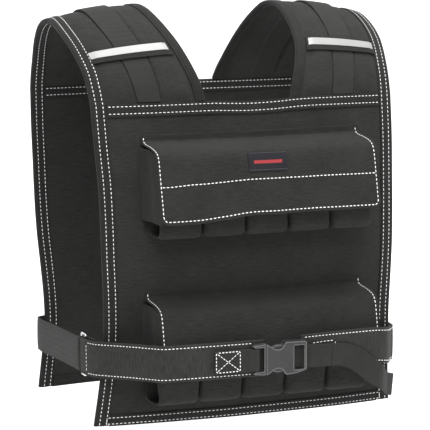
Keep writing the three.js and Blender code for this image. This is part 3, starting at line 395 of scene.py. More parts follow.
def sweep(name, section, frames, material, mirror=False, sharp=50.0):
    e, a, n = frames
    v, f, uv = sweep_mesh(section, e, a, n)
    if mirror:
        v = flip_x(v)
    return make(name, v, f, uv=uv, material=material, sharp=sharp)


def frames_on(at, u, v, toward, out):
    """Frames along an edge of a surface: edge point, direction into the cloth, normal."""
    u, v = np.broadcast_arrays(np.asarray(u, float), np.asarray(v, float))
    e = at(u, v)
    n = normal_at(at, u, v, out)
    a = unit(at(u + toward[0], v + toward[1]) - e)
    return e, a, unit(n - a * np.sum(n * a, -1, keepdims=True))


def along(frames, inward, off):
    """Line at a distance inward from an edge and off the cloth, with its normals."""
    e, a, n = frames
    return e + a * inward + n * off, n * np.sign(off)


# Thread stitches, gathered by group and made into one mesh each
STITCHES = {}
END_GAP = 0.4
BELT_STITCH = dict(pitch=4.0, length=2.7, width=0.92, height=0.5)
FLAP_STITCH = dict(length=3.0, width=1.12, height=0.6)
RING = [(-1.0, 0.0, -0.55), (-0.78, 0.75, -0.2), (0.0, 1.0, 0.12), (0.78, 0.75, -0.2), (1.0, 0.0, -0.55)]


def stitch(group, line, normals, pitch=4.5, length=2.85, width=0.88, height=0.5, mirror=False):
    """A run of thread stitches along a line on a surface."""
    line = np.asarray(line, float)
    normals = np.broadcast_to(np.asarray(normals, float), line.shape)
    run = run_of(line)
    span = run[-1] - 2 * END_GAP
    count = max(1, int(round(span / pitch)))
    at = END_GAP + (np.arange(count) + 0.5) * span / count
    at = at + RNG.uniform(-0.07, 0.07, count)
    pos = resample(line, run, at)
    h = length / 2
    t = unit(resample(line, run, at + h) - resample(line, run, at - h))
    n = resample(normals, run, at)
    n = unit(n - t * np.sum(n * t, 1, keepdims=True))
    b = np.cross(n, t)
    t = t + b * RNG.uniform(-0.035, 0.035, (count, 1))
    long_ = (h * RNG.uniform(0.93, 1.05, count))[:, None]
    verts = []
    for x, r, lift in RING:
        for k in range(6 if r else 1):
            w = math.pi * k / 3
            verts.append(pos + t * x * long_ + b * (r * width / 2 * math.cos(w)) + n * (
                r * height / 2 * math.sin(w) + lift * height * 0.5 + 0.12))
    verts = np.stack(verts, 1)
    STITCHES.setdefault(group, []).append(flip_x(verts) if mirror else verts)


def stitch_faces():
    rings = [[0], list(range(1, 7)), list(range(7, 13)), list(range(13, 19)), [19]]
    faces = []
    for a, b in zip(rings[:-1], rings[1:]):
        for k in range(6):
            p, q = (a[k % len(a)], a[(k + 1) % 6 % len(a)])
            r, s = (b[(k + 1) % 6 % len(b)], b[k % len(b)])
            f = [p]
            for i in (q, r, s):
                if i not in f:
                    f.append(i)
            faces.append(f)
    return faces


# Materials

def feed(nt, node, inputs):
    """Set a node's inputs: a socket is linked, anything else becomes the value."""
    for key, value in inputs.items():
        if isinstance(value, bpy.types.NodeSocket):
            nt.links.new(value, node.inputs[key])
        else:
            node.inputs[key].default_value = value


def add(nt, kind, inputs, out=0, **props):
    """New shader node; gives back one of its outputs."""
    n = nt.nodes.new("ShaderNode" + kind)
    for key, value in props.items():
        setattr(n, key, value)
    feed(nt, n, inputs)
    return n.outputs[out]


def calc(nt, op, *values):
    return add(nt, "Math", dict(enumerate(values)), operation=op)


def weigh(nt, first, *others):
    """Weighted sum of (socket, weight) pairs."""
    total = calc(nt, "MULTIPLY", *first)
    for socket, weight in others:
        total = calc(nt, "MULTIPLY_ADD", socket, weight, total)
    return total


def wave(nt, c, period, direction="X", distortion=0.0):
    return add(nt, "TexWave", {"Vector": c, "Scale": 0.314159 / period, "Distortion": distortion, "Detail": 1.0,
                               "Detail Scale": 2.0}, "Fac", wave_type="BANDS", bands_direction=direction)


def noise(nt, c, scale, detail=3.0, stretch=None):
    if stretch:
        c = add(nt, "Mapping", {"Vector": c, "Scale": stretch})
    return add(nt, "TexNoise", {"Vector": c, "Scale": scale, "Detail": detail}, "Fac")


def bump(nt, strength, distance, height, normal=None):
    under = {"Normal": normal} if normal else {}
    return add(nt, "Bump", {"Strength": strength, "Distance": distance, "Height": height, **under})


def shade(nt, dark, light, fac):
    """Colour between dark and light; a number stands for a grey."""
    r = nt.nodes.new("ShaderNodeValToRGB")
    for stop, colour in zip(r.color_ramp.elements, (dark, light)):
        stop.color = (*(colour if isinstance(colour, tuple) else (colour,) * 3), 1)
    nt.links.new(fac, r.inputs[0])
    return r.outputs[0]


def tinted(v):
    """The slightly warm grey of the cloth."""
    return v, v, 0.95 * v


def new_material(name, by_uv=True):
    """New material, its node tree and its coordinates: the weave's UV map, or the object's own."""
    mat = bpy.data.materials.new(name)
    mat.use_nodes = True
    nt = mat.node_tree
    return mat, nt, add(nt, "UVMap", {}, uv_map="weave") if by_uv else add(nt, "TexCoord", {}, "Object")


def dress(nt, **values):
    """Set the surface shader's sockets; _ in a name stands for a space."""
    feed(nt, nt.nodes["Principled BSDF"], {key.replace("_", " "): value for key, value in values.items()})


def cloth(name, dark, light, by_uv=True, thread=0.0009, rough=0.88, crease=0.0028):
    """Plain woven pack cloth: over and under threads, slubs, soft mottling and small creases."""
    mat, nt, c = new_material(name, by_uv)
    across, down = wave(nt, c, thread, "X", 0.6), wave(nt, c, thread, "Y" if by_uv else "Z", 0.6)
    check = add(nt, "TexChecker", {"Vector": c, "Scale": 1 / thread}, "Fac")
    woven = add(nt, "Mix", {0: check, 2: across, 3: down}, data_type="FLOAT")
    fine, broad = noise(nt, c, 700.0, 4.0), noise(nt, c, 22.0)
    slub = noise(nt, c, 60.0, 4.0, (1.5, 12.0 if by_uv else 1.5, 12.0))
    tone = weigh(nt, (slub, 0.55), (fine, 0.60), (broad, 0.35), (woven, 0.12))
    tone = calc(nt, "MULTIPLY_ADD", tone, 2.1, -1.20)
    normal = bump(nt, 0.4, 0.00035, calc(nt, "MULTIPLY_ADD", fine, 0.5, woven))
    normal = bump(nt, 0.5, 0.0006, slub, normal)
    normal = bump(nt, 0.5, crease, noise(nt, c, 45.0), normal)
    dress(nt, Base_Color=shade(nt, tinted(dark), tinted(light), tone), Normal=normal,
          Roughness=calc(nt, "MULTIPLY_ADD", broad, 0.16, rough - 0.08), Sheen_Weight=0.04, Sheen_Roughness=0.45,
          Specular_IOR_Level=0.16)
    return mat


def webbing(name, dark, light, rib=0.0016, chevron=0.0042, rough=0.8, streak=0.85):
    """Herringbone webbing: ribs that turn back and forth across the width, with uneven rib colour."""
    mat, nt, c = new_material(name)
    along_, across = add(nt, "SeparateXYZ", {0: c}).node.outputs[:2]
    run = calc(nt, "ADD", along_, calc(nt, "PINGPONG", across, chevron))
    ribs = wave(nt, add(nt, "CombineXYZ", {0: run, 1: across}), rib)
    edge = wave(nt, c, chevron * 2, "Y")
    fine, broad = noise(nt, c, 800.0), noise(nt, c, 30.0, 2.0)
    uneven = noise(nt, c, 60.0, 4.0, (9.0, 1.6, 1.6))
    tone = weigh(nt, (broad, 0.35), (fine, 0.45), (uneven, streak), (ribs, 0.25))
    tone = calc(nt, "MULTIPLY_ADD", tone, 1.9, -0.9 - 0.95 * (streak - 0.45))
    height = calc(nt, "MULTIPLY_ADD", edge, 0.25, calc(nt, "MULTIPLY_ADD", uneven, 0.8, ribs))
    dress(nt, Base_Color=shade(nt, tinted(dark), tinted(light), tone), Normal=bump(nt, 0.5, 0.0005, height),
          Roughness=calc(nt, "MULTIPLY_ADD", fine, 0.12, rough - 0.06), Sheen_Weight=0.03, Specular_IOR_Level=0.18)
    return mat


def thread_material(name, dark, light):
    mat, nt, c = new_material(name, False)
    twist = wave(nt, add(nt, "Mapping", {"Vector": c, "Rotation": (0.6, 0.5, 0.8)}), 0.0005)
    dress(nt, Base_Color=shade(nt, dark, light, noise(nt, c, 900.0, 2.0)), Normal=bump(nt, 0.3, 0.0002, twist),
          Roughness=0.6, Sheen_Weight=0.2)
    return mat


def reflective_material():
    """Pale tape with a fine cell pattern."""
    mat, nt, c = new_material("reflective")
    cell = add(nt, "TexVoronoi", {"Vector": c, "Scale": 900.0}, feature="DISTANCE_TO_EDGE")
    tone = weigh(nt, (noise(nt, c, 60.0, 2.0), 0.7), (cell, 0.5))
    dress(nt, Base_Color=shade(nt, (0.28, 0.28, 0.276), (0.37, 0.37, 0.366), tone),
          Normal=bump(nt, 0.15, 0.0002, cell), Roughness=0.38, Sheen_Weight=0.1)
    return mat


def plastic_material():
    """Moulded plastic with a fine grain, and a painted highlight: the colour is paler within a few millimetres of
    every edge.
    """
    mat, nt, c = new_material("moulded_plastic", False)
    grain, broad = noise(nt, c, 1400.0, 2.0), noise(nt, c, 60.0, 2.0)
    rounded = add(nt, "Bevel", {"Radius": 0.0024}, samples=8)
    flat_normal = add(nt, "NewGeometry", {}, "Normal")
    turn = add(nt, "VectorMath", {0: rounded, 1: flat_normal}, "Value", operation="DOT_PRODUCT")
    # Painted highlight: where the bevel's rounded normal turns away from the face normal, the colour is lifted
    # towards the pale end, standing in for light caught on the rims.
    edge = add(nt, "MapRange", {"Value": turn, "From Min": 0.995, "From Max": 0.93})
    tone = weigh(nt, (broad, 0.12), (grain, 0.13), (edge, 0.7))
    dress(nt, Base_Color=shade(nt, 0.003, (0.140, 0.141, 0.140), tone), Normal=bump(nt, 0.12, 0.0002, grain),
          Roughness=calc(nt, "MULTIPLY_ADD", broad, 0.15, 0.30))
    return mat


def chrome_material():
    mat, nt, c = new_material("chrome", False)
    scuff = noise(nt, c, 300.0, 4.0)
    dress(nt, Base_Color=shade(nt, (0.55, 0.56, 0.58), (0.86, 0.87, 0.88), scuff),
          Roughness=calc(nt, "MULTIPLY_ADD", scuff, 0.2, 0.12), Metallic=1.0)
    return mat


def label_material():
    """Dark woven label with one plain red stripe."""
    mat, nt, c = new_material("woven_label")
    side, down = add(nt, "SeparateXYZ", {0: c}).node.outputs[:2]
    fine, weft = noise(nt, c, 1500.0), wave(nt, c, 0.0006, "Y", 0.3)
    base = shade(nt, (0.007, 0.007, 0.009), (0.022, 0.022, 0.027), weigh(nt, (fine, 0.5), (weft, 0.4)))
    red = shade(nt, (0.16, 0.018, 0.022), (0.46, 0.055, 0.06), fine)
    off = calc(nt, "ABSOLUTE", calc(nt, "SUBTRACT", down, 0.0102))
    stripe = calc(nt, "MULTIPLY", calc(nt, "LESS_THAN", off, 0.0017),
                  calc(nt, "LESS_THAN", calc(nt, "ABSOLUTE", side), 0.0160))
    dress(nt, Base_Color=add(nt, "Mix", {0: stripe, 6: base, 7: red}, 2, data_type="RGBA"),
          Normal=bump(nt, 0.3, 0.0002, weft), Roughness=0.8, Specular_IOR_Level=0.2)
    return mat


SHELL_CLOTH = cloth("pack_cloth", 0.012, 0.034)
POUCH_CLOTH = cloth("pouch_cloth", 0.012, 0.034, by_uv=False)
FLAP_CLOTH = cloth("flap_cloth", 0.011, 0.031)
TAPE_CLOTH = cloth("binding_tape", 0.010, 0.026, thread=0.0007, rough=0.82, crease=0.0012)
WEB = webbing("webbing", 0.014, 0.032, streak=0.45)
BELT_WEB = webbing("belt_webbing", 0.014, 0.040, rib=0.0021, chevron=0.0050)
GREY_WEB = webbing("grey_webbing", 0.013, 0.031, rib=0.0018, chevron=0.0031, rough=0.72)
THREAD = thread_material("thread", (0.82, 0.82, 0.80), (1.0, 1.0, 0.99))
DARK_THREAD = thread_material("dark_thread", (0.05, 0.05, 0.055), (0.14, 0.14, 0.15))
BRIGHT = reflective_material()
PLASTIC = plastic_material()
CHROME = chrome_material()
LABEL = label_material()


# Shells

PANEL_V = np.linspace(0.0, 1.0, 61)
PANEL_U = np.linspace(-1.0, 1.0, 61)
PANELS = (("front", front_at, 1), ("back", back_at, -1))
for face, at, out in PANELS:
    o = slab(f"{face}_shell", at, PANEL_U, PANEL_V, -SHELL / 2, SHELL / 2, out, SHELL_CLOTH)
    stand_for(f"{face}_panel")


# Shoulder straps, padded on both sides of the sewn webbing

SIDES = (("right", False), ("left", True))
TAPE_SHARE = 0.14
PAD_RISE = 1.9


def web_half(t):
    width = smooth(np.array([0, 0.5, 1.0]), np.array([1, WEB_FLARE, 1.0]), t) * WEB_WIDTH
    return width / np.linalg.norm(strap_at(1.0, t) - strap_at(0.0, t), axis=-1) / 2


def pad_height(u, t):
    """How far the padding stands above the flat strap, outside."""
    span = np.linalg.norm(strap_at(1.0, t) - strap_at(0.0, t), axis=-1)
    neck, outer = 12.0 / span, 1 - 14.5 / span
    w = web_half(t)
    left = ramp(u, neck, neck + 9 / span) * (1 - ramp(u, 0.5 - w - 3.5 / span, 0.5 - w + 0.8 / span))
    right = ramp(u, 0.5 + w - 0.8 / span, 0.5 + w + 3.5 / span) * (1 - ramp(u, outer - 9 / span, outer))
    ends = ramp(t, 0.0, 0.05) * (1 - ramp(t, 0.95, 1.0))
    crown = 1 - 0.72 * np.exp(-((t - 0.5) / 0.16) ** 2)
    soft = 1 + 0.12 * np.sin(t * 41 + u * 5) + 0.09 * np.sin(t * 67 - u * 9)
    return PAD_RISE * (left + right) * ends * soft * crown


STRAP_U = np.unique(np.concatenate([np.linspace(0, 1, 41), np.linspace(0.3, 0.72, 40)]))
STRAP_T = np.linspace(0.002, 0.998, 111)
for side, mirror in SIDES:
    o = slab(f"strap_pad_{side}", strap_at, STRAP_U, STRAP_T,
             lambda u, t: -SHELL / 2 - 0.8 * pad_height(u, t), lambda u, t: SHELL / 2 + pad_height(u, t),
             1, SHELL_CLOTH, mirror)
    stand_for(f"{side}_strap")


# Folded bindings

INNER = SHELL / 2 + GAP * 0.5
OUT = INNER + TAPE_THICK


def fold_profile(width, rows, edge=1.6):
    """C-shaped section of a folded tape that dips at its stitch rows."""
    a = np.unique(np.concatenate([np.linspace(width, 0.6, 16), np.array(rows), np.array(rows) - 0.8,
                                  np.array(rows) + 0.8]))[::-1]
    top = OUT + 0.35 * np.sin(np.clip(a / width, 0, 1) * np.pi) ** 0.5
    for r in rows:
        top = top - 0.55 * np.exp(-((a - r) / 0.9) ** 2)
    top[0] -= 0.25
    outer = list(zip(a, top))
    nose = [(-edge * math.sin(w) + 0.2, (OUT + 0.1) * math.cos(w)) for w in np.linspace(0.15, math.pi - 0.15, 9)]
    inner = [(x, -y) for x, y in reversed(outer)]
    back = [(width, -INNER), (-0.2, -INNER), (-0.2, INNER), (width, INNER)]
    return outer + nose + inner + back


def join_frames(*sets):
    return tuple(np.concatenate(parts) for parts in zip(*sets))


V_UP = np.linspace(0, 1, 60)
T_UP = np.linspace(0.004, 0.996, 110)
EDGE = join_frames(
    frames_on(front_at, 1.0, V_UP, (-0.09, 0), 1),
    frames_on(strap_at, 1.0, T_UP, (-TAPE_SHARE, 0), 1),
    frames_on(back_at, 1.0, V_UP[::-1], (-0.09, 0), -1))
EDGE_ROWS = (4.2, 11.6)
NECK_FRAMES = frames_on(strap_at, 0.0, np.linspace(0.010, 0.990, 100), (TAPE_SHARE, 0), 1)
for side, mirror in SIDES:
    o = sweep(f"edge_tape_{side}", fold_profile(14.2, EDGE_ROWS), EDGE, TAPE_CLOTH, mirror, sharp=60)
    stand_for(f"{side}_edge_binding")
    for a in EDGE_ROWS:
        for off in (OUT - 0.05, -OUT + 0.05):
            line, n = along(EDGE, a, off)
            stitch(f"edge_{side}", line, n, mirror=mirror)
    o = sweep(f"neck_tape_{side}", fold_profile(10.5, (8.2,), edge=1.4), NECK_FRAMES, TAPE_CLOTH, mirror, sharp=60)
    stand_for(f"{side}_neck_binding")


# Hems and top bands

HEM_SHARE = 1 - 15.5 / HALF
HEM_STEP = 12.5 / PANEL_HEIGHT
HEM_ROWS = (2.0, 8.9)
HEM_SEWN = 1 - 11.6 / HALF
for face, at, out in PANELS:
    fr, longer = (frames_on(at, np.linspace(-share, share, 70), 0.0, (0, HEM_STEP), out)
                  for share in (HEM_SHARE, HEM_SEWN))
    o = sweep(f"{face}_hem_tape", fold_profile(11.8, HEM_ROWS), fr, TAPE_CLOTH, sharp=60)
    stand_for(f"{face}_hem")
    for off in (OUT + 0.15, -OUT - 0.15)[:1 if at is back_at else 2]:
        lines = [along(longer, a, off) for a in HEM_ROWS]
        for line, n in lines:
            stitch("hems", line, n)
        for k in (0, -1):
            stitch("hems", np.stack([lines[0][0][k], lines[1][0][k]]), lines[0][1][k])


def band_wave(x):
    """Small rise and fall of the front top band."""
    return smooth(np.array([-175, -60, -45, 0, 30, 60, 175.0]), np.array([0, 0.3, 0.4, -1.2, -0.6, 0.9, 0.0]), x)


BAND_ROWS = (1.1, 8.7)
NECK_SHARE = 0.287 - 1.2 / HALF


def band_profile(top, width=12.5):
    """Section of one side of a top band, which dips at its stitch rows."""
    a = np.unique(np.concatenate([np.linspace(top, width, 22), np.array(BAND_ROWS)]))
    h = OUT + 0.25 - sum(0.5 * np.exp(-((a - r) / 0.9) ** 2) for r in BAND_ROWS)
    h[0] -= 0.35
    h[-1] -= 0.3
    return list(zip(a, h)) + [(width, INNER), (top, INNER)]


def joined(parts):
    """One mesh from several sets of points, faces and UVs."""
    start = np.cumsum([0] + [len(v) for v, _, _ in parts])
    faces = [[i + k for i in q] for (_, f, _), k in zip(parts, start) for q in f]
    return np.concatenate([v for v, _, _ in parts]), faces, np.concatenate([uv for _, _, uv in parts])


for face, at, out in PANELS:
    fr, neck = (frames_on(at, np.linspace(-share, share, count), 1.0, (0, -HEM_STEP), out)
                for share, count in ((HEM_SHARE, 90), (NECK_SHARE, 40)))
    if face == "front":
        for e in (fr[0], neck[0]):
            e[:, 2] += band_wave(e[:, 0])
    nose = [(-1.5 * math.sin(w) - 0.1, (OUT + 0.15) * math.cos(w)) for w in np.linspace(0, math.pi, 9)]
    verts, faces, uv = joined([
        sweep_mesh(band_profile(-1.6), *fr),
        sweep_mesh([(a, -b) for a, b in reversed(band_profile(0.0))], *fr),
        sweep_mesh([(2.0, OUT + 0.15)] + nose + [(2.0, -OUT - 0.15)], *neck)])
    o = make(f"{face}_band", verts, faces, uv=uv, material=TAPE_CLOTH, sharp=60)
    stand_for(f"{face}_top_band")
    for a in BAND_ROWS:
        for off in (OUT + 0.1, -OUT - 0.1):
            line, n = along(fr, a, off)
            stitch("bands", line, n)


# Strap webbing, cross bands and bright strips

WEB_LIFT = SHELL / 2 + 0.2
STRAP_LEN = 283.9
CROSS_AT, CROSS_SLANT = 53.8 / STRAP_LEN, 4.2 / STRAP_LEN
CROSS_WIDTH, STRIP_WIDTH = 14.0, 7.2


def web_at(u, t):
    return strap_at(0.5 + u * web_half(t), t)


def cross_at(width, shift):
    return lambda u, s: strap_at(u, CROSS_AT + CROSS_SLANT * (1 - u) + shift + s * width / STRAP_LEN)


SPAN = float(np.linalg.norm(strap_at(1.0, CROSS_AT) - strap_at(0.0, CROSS_AT)))
CROSS_U = np.linspace(11.0 / SPAN, 1 - 14.5 / SPAN, 40)


def cross_lift(base, us, drop):
    return lambda u, s: base + 0.35 * np.sin(np.pi * (u - us[0]) / (us[-1] - us[0])) - 1.3 * (
        1 - ramp(u, us[0], us[0] + 8 / SPAN)) - drop * ramp(u, us[-1] - 8 / SPAN, us[-1])


for side, mirror in SIDES:
    shift, drop = (0.022, 1.0) if mirror else (0.0, 1.6)
    us, widthwise = CROSS_U + shift, np.linspace(-0.5, 0.5, 7)
    o = slab(f"strap_web_{side}", web_at, np.linspace(-1, 1, 9), np.linspace(0.012, 0.988, 100),
             WEB_LIFT, lambda u, t: WEB_LIFT + WEB_THICK + 1.1 * np.exp(-((t - 0.5) / 0.13) ** 2),
             1, WEB, mirror, bevel=0.4)
    stand_for(f"{side}_strap_webbing")
    o = slab(f"cross_tape_{side}", cross_at(CROSS_WIDTH, 0.9 / STRAP_LEN), us, widthwise,
             cross_lift(4.2, us, drop), cross_lift(5.4, us, drop), 1, TAPE_CLOTH, mirror, bevel=0.4)
    stand_for(f"{side}_cross_band")
    o = slab(f"bright_strip_{side}", cross_at(STRIP_WIDTH, 2.3 / STRAP_LEN), us[1:] if mirror else us[1:-1],
             widthwise, cross_lift(5.45, us, drop), cross_lift(6.0, us, drop), 1, BRIGHT, mirror, bevel=0.2)
    stand_for(f"{side}_reflective_strip")


# Pocket flaps, side gussets and base patches

near_edge = np.linspace(0, 0.06, 9)
FLAP_S = np.unique(np.concatenate([np.linspace(-1, 1, 81), -1 + near_edge, 1 - near_edge]))
FLAP_K = np.linspace(0, 10, 71)
# Stitch rows: k of the one at the free edge, and s, k of the one across the middle of the upper flap
FREE_ROW = 9.79
MID = np.array([(-1.0, 8.00), (-0.90, 8.00), (-0.72, 7.92), (-0.24, 7.94), (0.44, 7.93), (1.0, 7.93)]).T


def flap_line(row, pts, lift=0.15):
    """Line through s, k points on a flap, with its normals."""
    s, k = np.array(pts, float).T
    p = flap_at(row, s, k, 0.0)
    n = flap_normal(row, s, k)
    return p + n * lift, n


def flap_stitch_path(low=FREE_ROW, first=0.08):
    """Down the left edge, round the corner, along the free edge and up the right edge."""
    left, right = (1 - inset / (FLAP_WIDTH / 2) for inset in (2.2, 3.6))
    turn = 4.5
    r, rk = turn / (FLAP_WIDTH / 2), turn / (0.2 * FLAP_DROP)
    down = [(0.0, k) for k in np.linspace(first, low - rk, 60)]
    half = down + [(r * (1 - math.cos(w)), low - rk + rk * math.sin(w)) for w in np.linspace(0.2, 1.57, 6)]
    across = [(s, low) for s in np.linspace(-left + r, right - r, 70)]
    return [(-left + s, k) for s, k in half] + across[1:-1] + [(right - s, k) for s, k in reversed(half)]


for row in ROWS:
    s, k = np.meshgrid(FLAP_S, FLAP_K)
    high = flap_at(row, s, k, 0.0)
    n = flap_normal(row, s, k)
    edge = (1 - np.abs(s)) * FLAP_WIDTH / 2
    thick = FLAP_THICK * (0.55 + 0.45 * ramp(edge, 0, 1.2) * ramp(10 - k, 0, 0.12))
    dent = 0.35 * np.exp(-((edge - 3.0) / 1.0) ** 2) + 0.35 * np.exp(-((k - FREE_ROW) / 0.06) ** 2)
    if row == "upper":
        dent = dent + 0.35 * np.exp(-((k - np.interp(s, MID[0], MID[1])) / 0.05) ** 2)
    puff = 0.5 * np.exp(-((edge - 1.4) / 1.2) ** 2)
    top = high + n * (puff - dent)[..., None]
    low = high - n * thick[..., None]
    o = make_slab(f"{row}_flap_cloth", low, top, FLAP_CLOTH)
    stand_for(f"{row}_flap")
    line, ln = flap_line(row, flap_stitch_path())
    stitch("flaps", line, ln, **FLAP_STITCH)
    if row == "upper":
        across = np.linspace(-0.98, 0.97, 70)
        line, ln = flap_line(row, np.column_stack([across, np.interp(across, MID[0], MID[1])]))
        stitch("flaps", line, ln, **FLAP_STITCH)

    # Base patch that the pocket is sewn to
    sewn = ROWS[row][0] * PANEL_HEIGHT
    px = np.linspace(POCKET_X - 131.0, POCKET_X + 130.5, 50)
    pz = np.linspace(sewn - 82, sewn + 1.2, 24)
    gx, gz = np.meshgrid(px, pz)
    base = on_front(gx, gz)
    o = make_slab(f"{row}_pocket_base", base + [0, 0.2, 0], base - [0, 0.8, 0], SHELL_CLOTH)
    soften(o, 0.35)

    # Side gussets
    for side, sign in (("left", -1), ("right", 1)):
        ks = np.linspace(3.2, 10.0, 30)
        front = flap_at(row, float(sign), ks, 0.0, False)
        front = front - flap_normal(row, float(sign), ks) * (FLAP_THICK + 0.3)
        front[:, 2] = np.minimum(front[:, 2], sewn - 0.09 * FLAP_DROP)
        x0 = POCKET_X + sign * (FLAP_WIDTH / 2 + 2.6)
        w = np.linspace(0, 1, 18)
        z = front[:, 2]
        back = on_front(np.full(len(z), x0), z)
        splay = sign * 5.0 * (front[:, 1] - back[:, 1]) / FLAP_REACH
        belly = 0.8 * np.sin(w * np.pi * 3) * np.sin(w * np.pi)
        g = np.stack(np.broadcast_arrays(
            x0 + splay[:, None] * w + sign * belly * ramp(sewn - z, 8, 30)[:, None],
            back[:, 1][:, None] + (front[:, 1] - back[:, 1])[:, None] * w, z[:, None]), -1)
        o = make_slab(f"{side}_{row}_side", g - [0.75, 0, 0], g + [0.75, 0, 0], FLAP_CLOTH)
        soften(o, 0.3)
        stand_for(f"{side}_{row}_gusset")


# Filled pouches: boxy bags that swell a little under pressure

PITCH = POUCH_ROW / 5
POUCH_GAP, CORNER = 1.8, 3.2


def rounded_ring(hx, hy, r, arc=4, side=7):
    """Points round a rectangle with rounded corners: arc points a corner, side points between corners."""
    pts = []
    corners = ((1, 1), (-1, 1), (-1, -1), (1, -1))
    for k in range(4):
        for q in np.linspace(0, 90, arc):
            w = math.radians(90 * k + q)
            pts.append((corners[k][0] * (hx - r) + r * math.cos(w), corners[k][1] * (hy - r) + r * math.sin(w)))
        nx, ny = corners[(k + 1) % 4]
        w = math.radians(90 * k + 90)
        a, b = np.array(pts[-1]), np.array([nx * (hx - r) + r * math.cos(w), ny * (hy - r) + r * math.sin(w)])
        pts += [tuple(a + (b - a) * q) for q in np.linspace(0, 1, side + 2)[1:-1]]
    return np.array(pts)


def pouch_mesh(row, i):
    """Closed pouch with rounded corners and a rounded bottom."""
    top_share, low_share, _ = ROWS[row]
    bottom, top = low_share * PANEL_HEIGHT, top_share * PANEL_HEIGHT - 0.2 * FLAP_DROP
    centre, half = POCKET_X + (i - 2) * PITCH, (PITCH - POUCH_GAP) / 2
    tall = top - bottom
    levels = np.concatenate([np.array([0, 0.35, 1.2, 2.6, 4.5, 8.0]), np.linspace(12, tall - 8, 14),
                             tall - np.array([5.0, 2.2, 0.7, 0.0])])
    rings = []
    for h in levels:
        z = bottom + h
        low = math.sqrt(max(0.0, 1 - ((6.0 - min(h, 6.0)) / 6.0) ** 2))
        up = math.sqrt(max(0.0, 1 - ((5 - min(tall - h, 5)) / 5) ** 2))
        shrink = 4.6 * (1 - low) + 4.0 * (1 - up)
        full = float(smooth(np.array([0, 0.1, 0.5, 1.0]), np.array([1.0, 1.02, 1.04, 0.86]), h / tall))
        back = float(on_front(centre, z)[1]) - 0.9
        front = float(on_front(POCKET_X + POUCH_ROW / 2, z)[1]) - POUCH_DEPTH * full
        mid, deep = (back + front) / 2, (back - front) / 2
        ring = rounded_ring(half - shrink, deep - shrink * 0.8, CORNER)
        pts = np.column_stack([centre + ring[:, 0], mid + ring[:, 1] + shrink * 0.6, np.full(len(ring), z)])
        sag = 0.5 * np.sin(pts[:, 0] / 6.0 + i * 2.3 + h / 15) * np.sin(h / 9 + i)
        pts[:, 1] -= np.where(ring[:, 1] < 0, sag, 0)
        if i == 0:
            pts[:, 0] -= np.where(ring[:, 0] < 0, 3.0 * (ring[:, 1] + deep) / (2 * deep), 0)
        rings.append(pts)
    return np.concatenate(rings), tube_faces(len(rings), len(rings[0]))


def applied(o):
    """Bake an object's modifiers into its mesh."""
    bpy.context.view_layer.update()
    dg = bpy.context.evaluated_depsgraph_get()
    me = bpy.data.meshes.new_from_object(o.evaluated_get(dg))
    o.modifiers.clear()
    old, o.data = o.data, me
    bpy.data.meshes.remove(old)
    return o


def cut(o, other, operation="DIFFERENCE"):
    """Cut another closed object out of o, or join it on, and remove it."""
    m = o.modifiers.new("cut", "BOOLEAN")
    m.object, m.operation, m.solver = other, operation, "EXACT"
    applied(o)
    bpy.data.objects.remove(other)


def points_of(me):
    co = np.zeros(len(me.vertices) * 3)
    me.vertices.foreach_get("co", co)
    return co.reshape(-1, 3)


def swell(pieces, pressure=4.0, voxel=0.0030, cap=(0.0002, 0.0020, 0.0010)):
    """Cloth simulation of closed bags under pressure, with a cap on how far a point may move."""
    start = {}
    for o in pieces:
        m = o.modifiers.new("remesh", "REMESH")
        m.mode, m.voxel_size = "VOXEL", voxel
        applied(o)
        co = start[o.name] = points_of(o.data)
        grip = o.vertex_groups.new(name="grip")
        low = co.min(0)
        held = [i for i, p in enumerate(co) if p[1] > np.max(co[:, 1]) - 0.004 or p[2] < low[2] + 0.001]
        grip.add(held, 1.0, "REPLACE")
        c = o.modifiers.new("bag", "CLOTH")
        s = c.settings
        s.use_pressure, s.uniform_pressure_force = True, pressure
        s.effector_weights.gravity = 0.0
        s.vertex_group_mass = "grip"
        s.mass, s.quality = 0.2, 5
        s.tension_stiffness = s.compression_stiffness = s.shear_stiffness = 12.0
        s.bending_stiffness = 0.4
        c.collision_settings.use_collision = False
    for f in range(1, 21):
        bpy.context.scene.frame_set(f)
    dg = bpy.context.evaluated_depsgraph_get()
    moved = {o.name: points_of(o.evaluated_get(dg).data) for o in pieces}
    for o in pieces:
        o.modifiers.clear()
        o.vertex_groups.clear()
        limit = np.array(cap)
        step = np.clip(moved[o.name] - start[o.name], -limit, limit)
        o.data.vertices.foreach_set("co", (start[o.name] + step).ravel())
        o.data.shade_smooth()
        o.data.update()
        m = o.modifiers.new("fine", "SUBSURF")
        m.levels = m.render_levels = 1
        applied(o)
    bpy.context.scene.frame_set(1)


bags = []
for row in ROWS:
    for i in range(5):
        v, f = pouch_mesh(row, i)
        o = make(f"{row}_pouch_cloth_{i + 1}", v, f, material=POUCH_CLOTH, sharp=0)
        stand_for(f"{row}_pouch_{i + 1}")
        bags.append(o)
swell(bags)


# The first pouch of each row is open at its left side
for row, bag in (("upper", bags[0]), ("lower", bags[5])):
    base = ROWS[row][1] * PANEL_HEIGHT
    left = POCKET_X - POUCH_ROW / 2
    back_y = float(on_front(left, base + 20)[1])
    front_y = float(on_front(POCKET_X + POUCH_ROW / 2, base + 20)[1]) - POUCH_DEPTH
    ring = rounded_ring((back_y - front_y) / 2 - 5.0, 17.0, 7.0)
    mid_y, mid_z = (back_y + front_y) / 2 - 3.0, base + 2.6 + 17.0
    rings = [np.column_stack([np.full(len(ring), left + dx), mid_y + ring[:, 0] * k, mid_z + ring[:, 1] * k])
             for dx, k in ((-8, 1.05), (0.5, 1.0), (7.0, 0.97), (13.0, 0.86))]
    hollow = make("hollow", np.concatenate(rings), tube_faces(len(rings), len(ring)), material=POUCH_CLOTH, sharp=0)
    cut(bag, hollow)
    bag.data.shade_smooth()
    bag.data.set_sharp_from_angle(angle=math.radians(48))


# Label

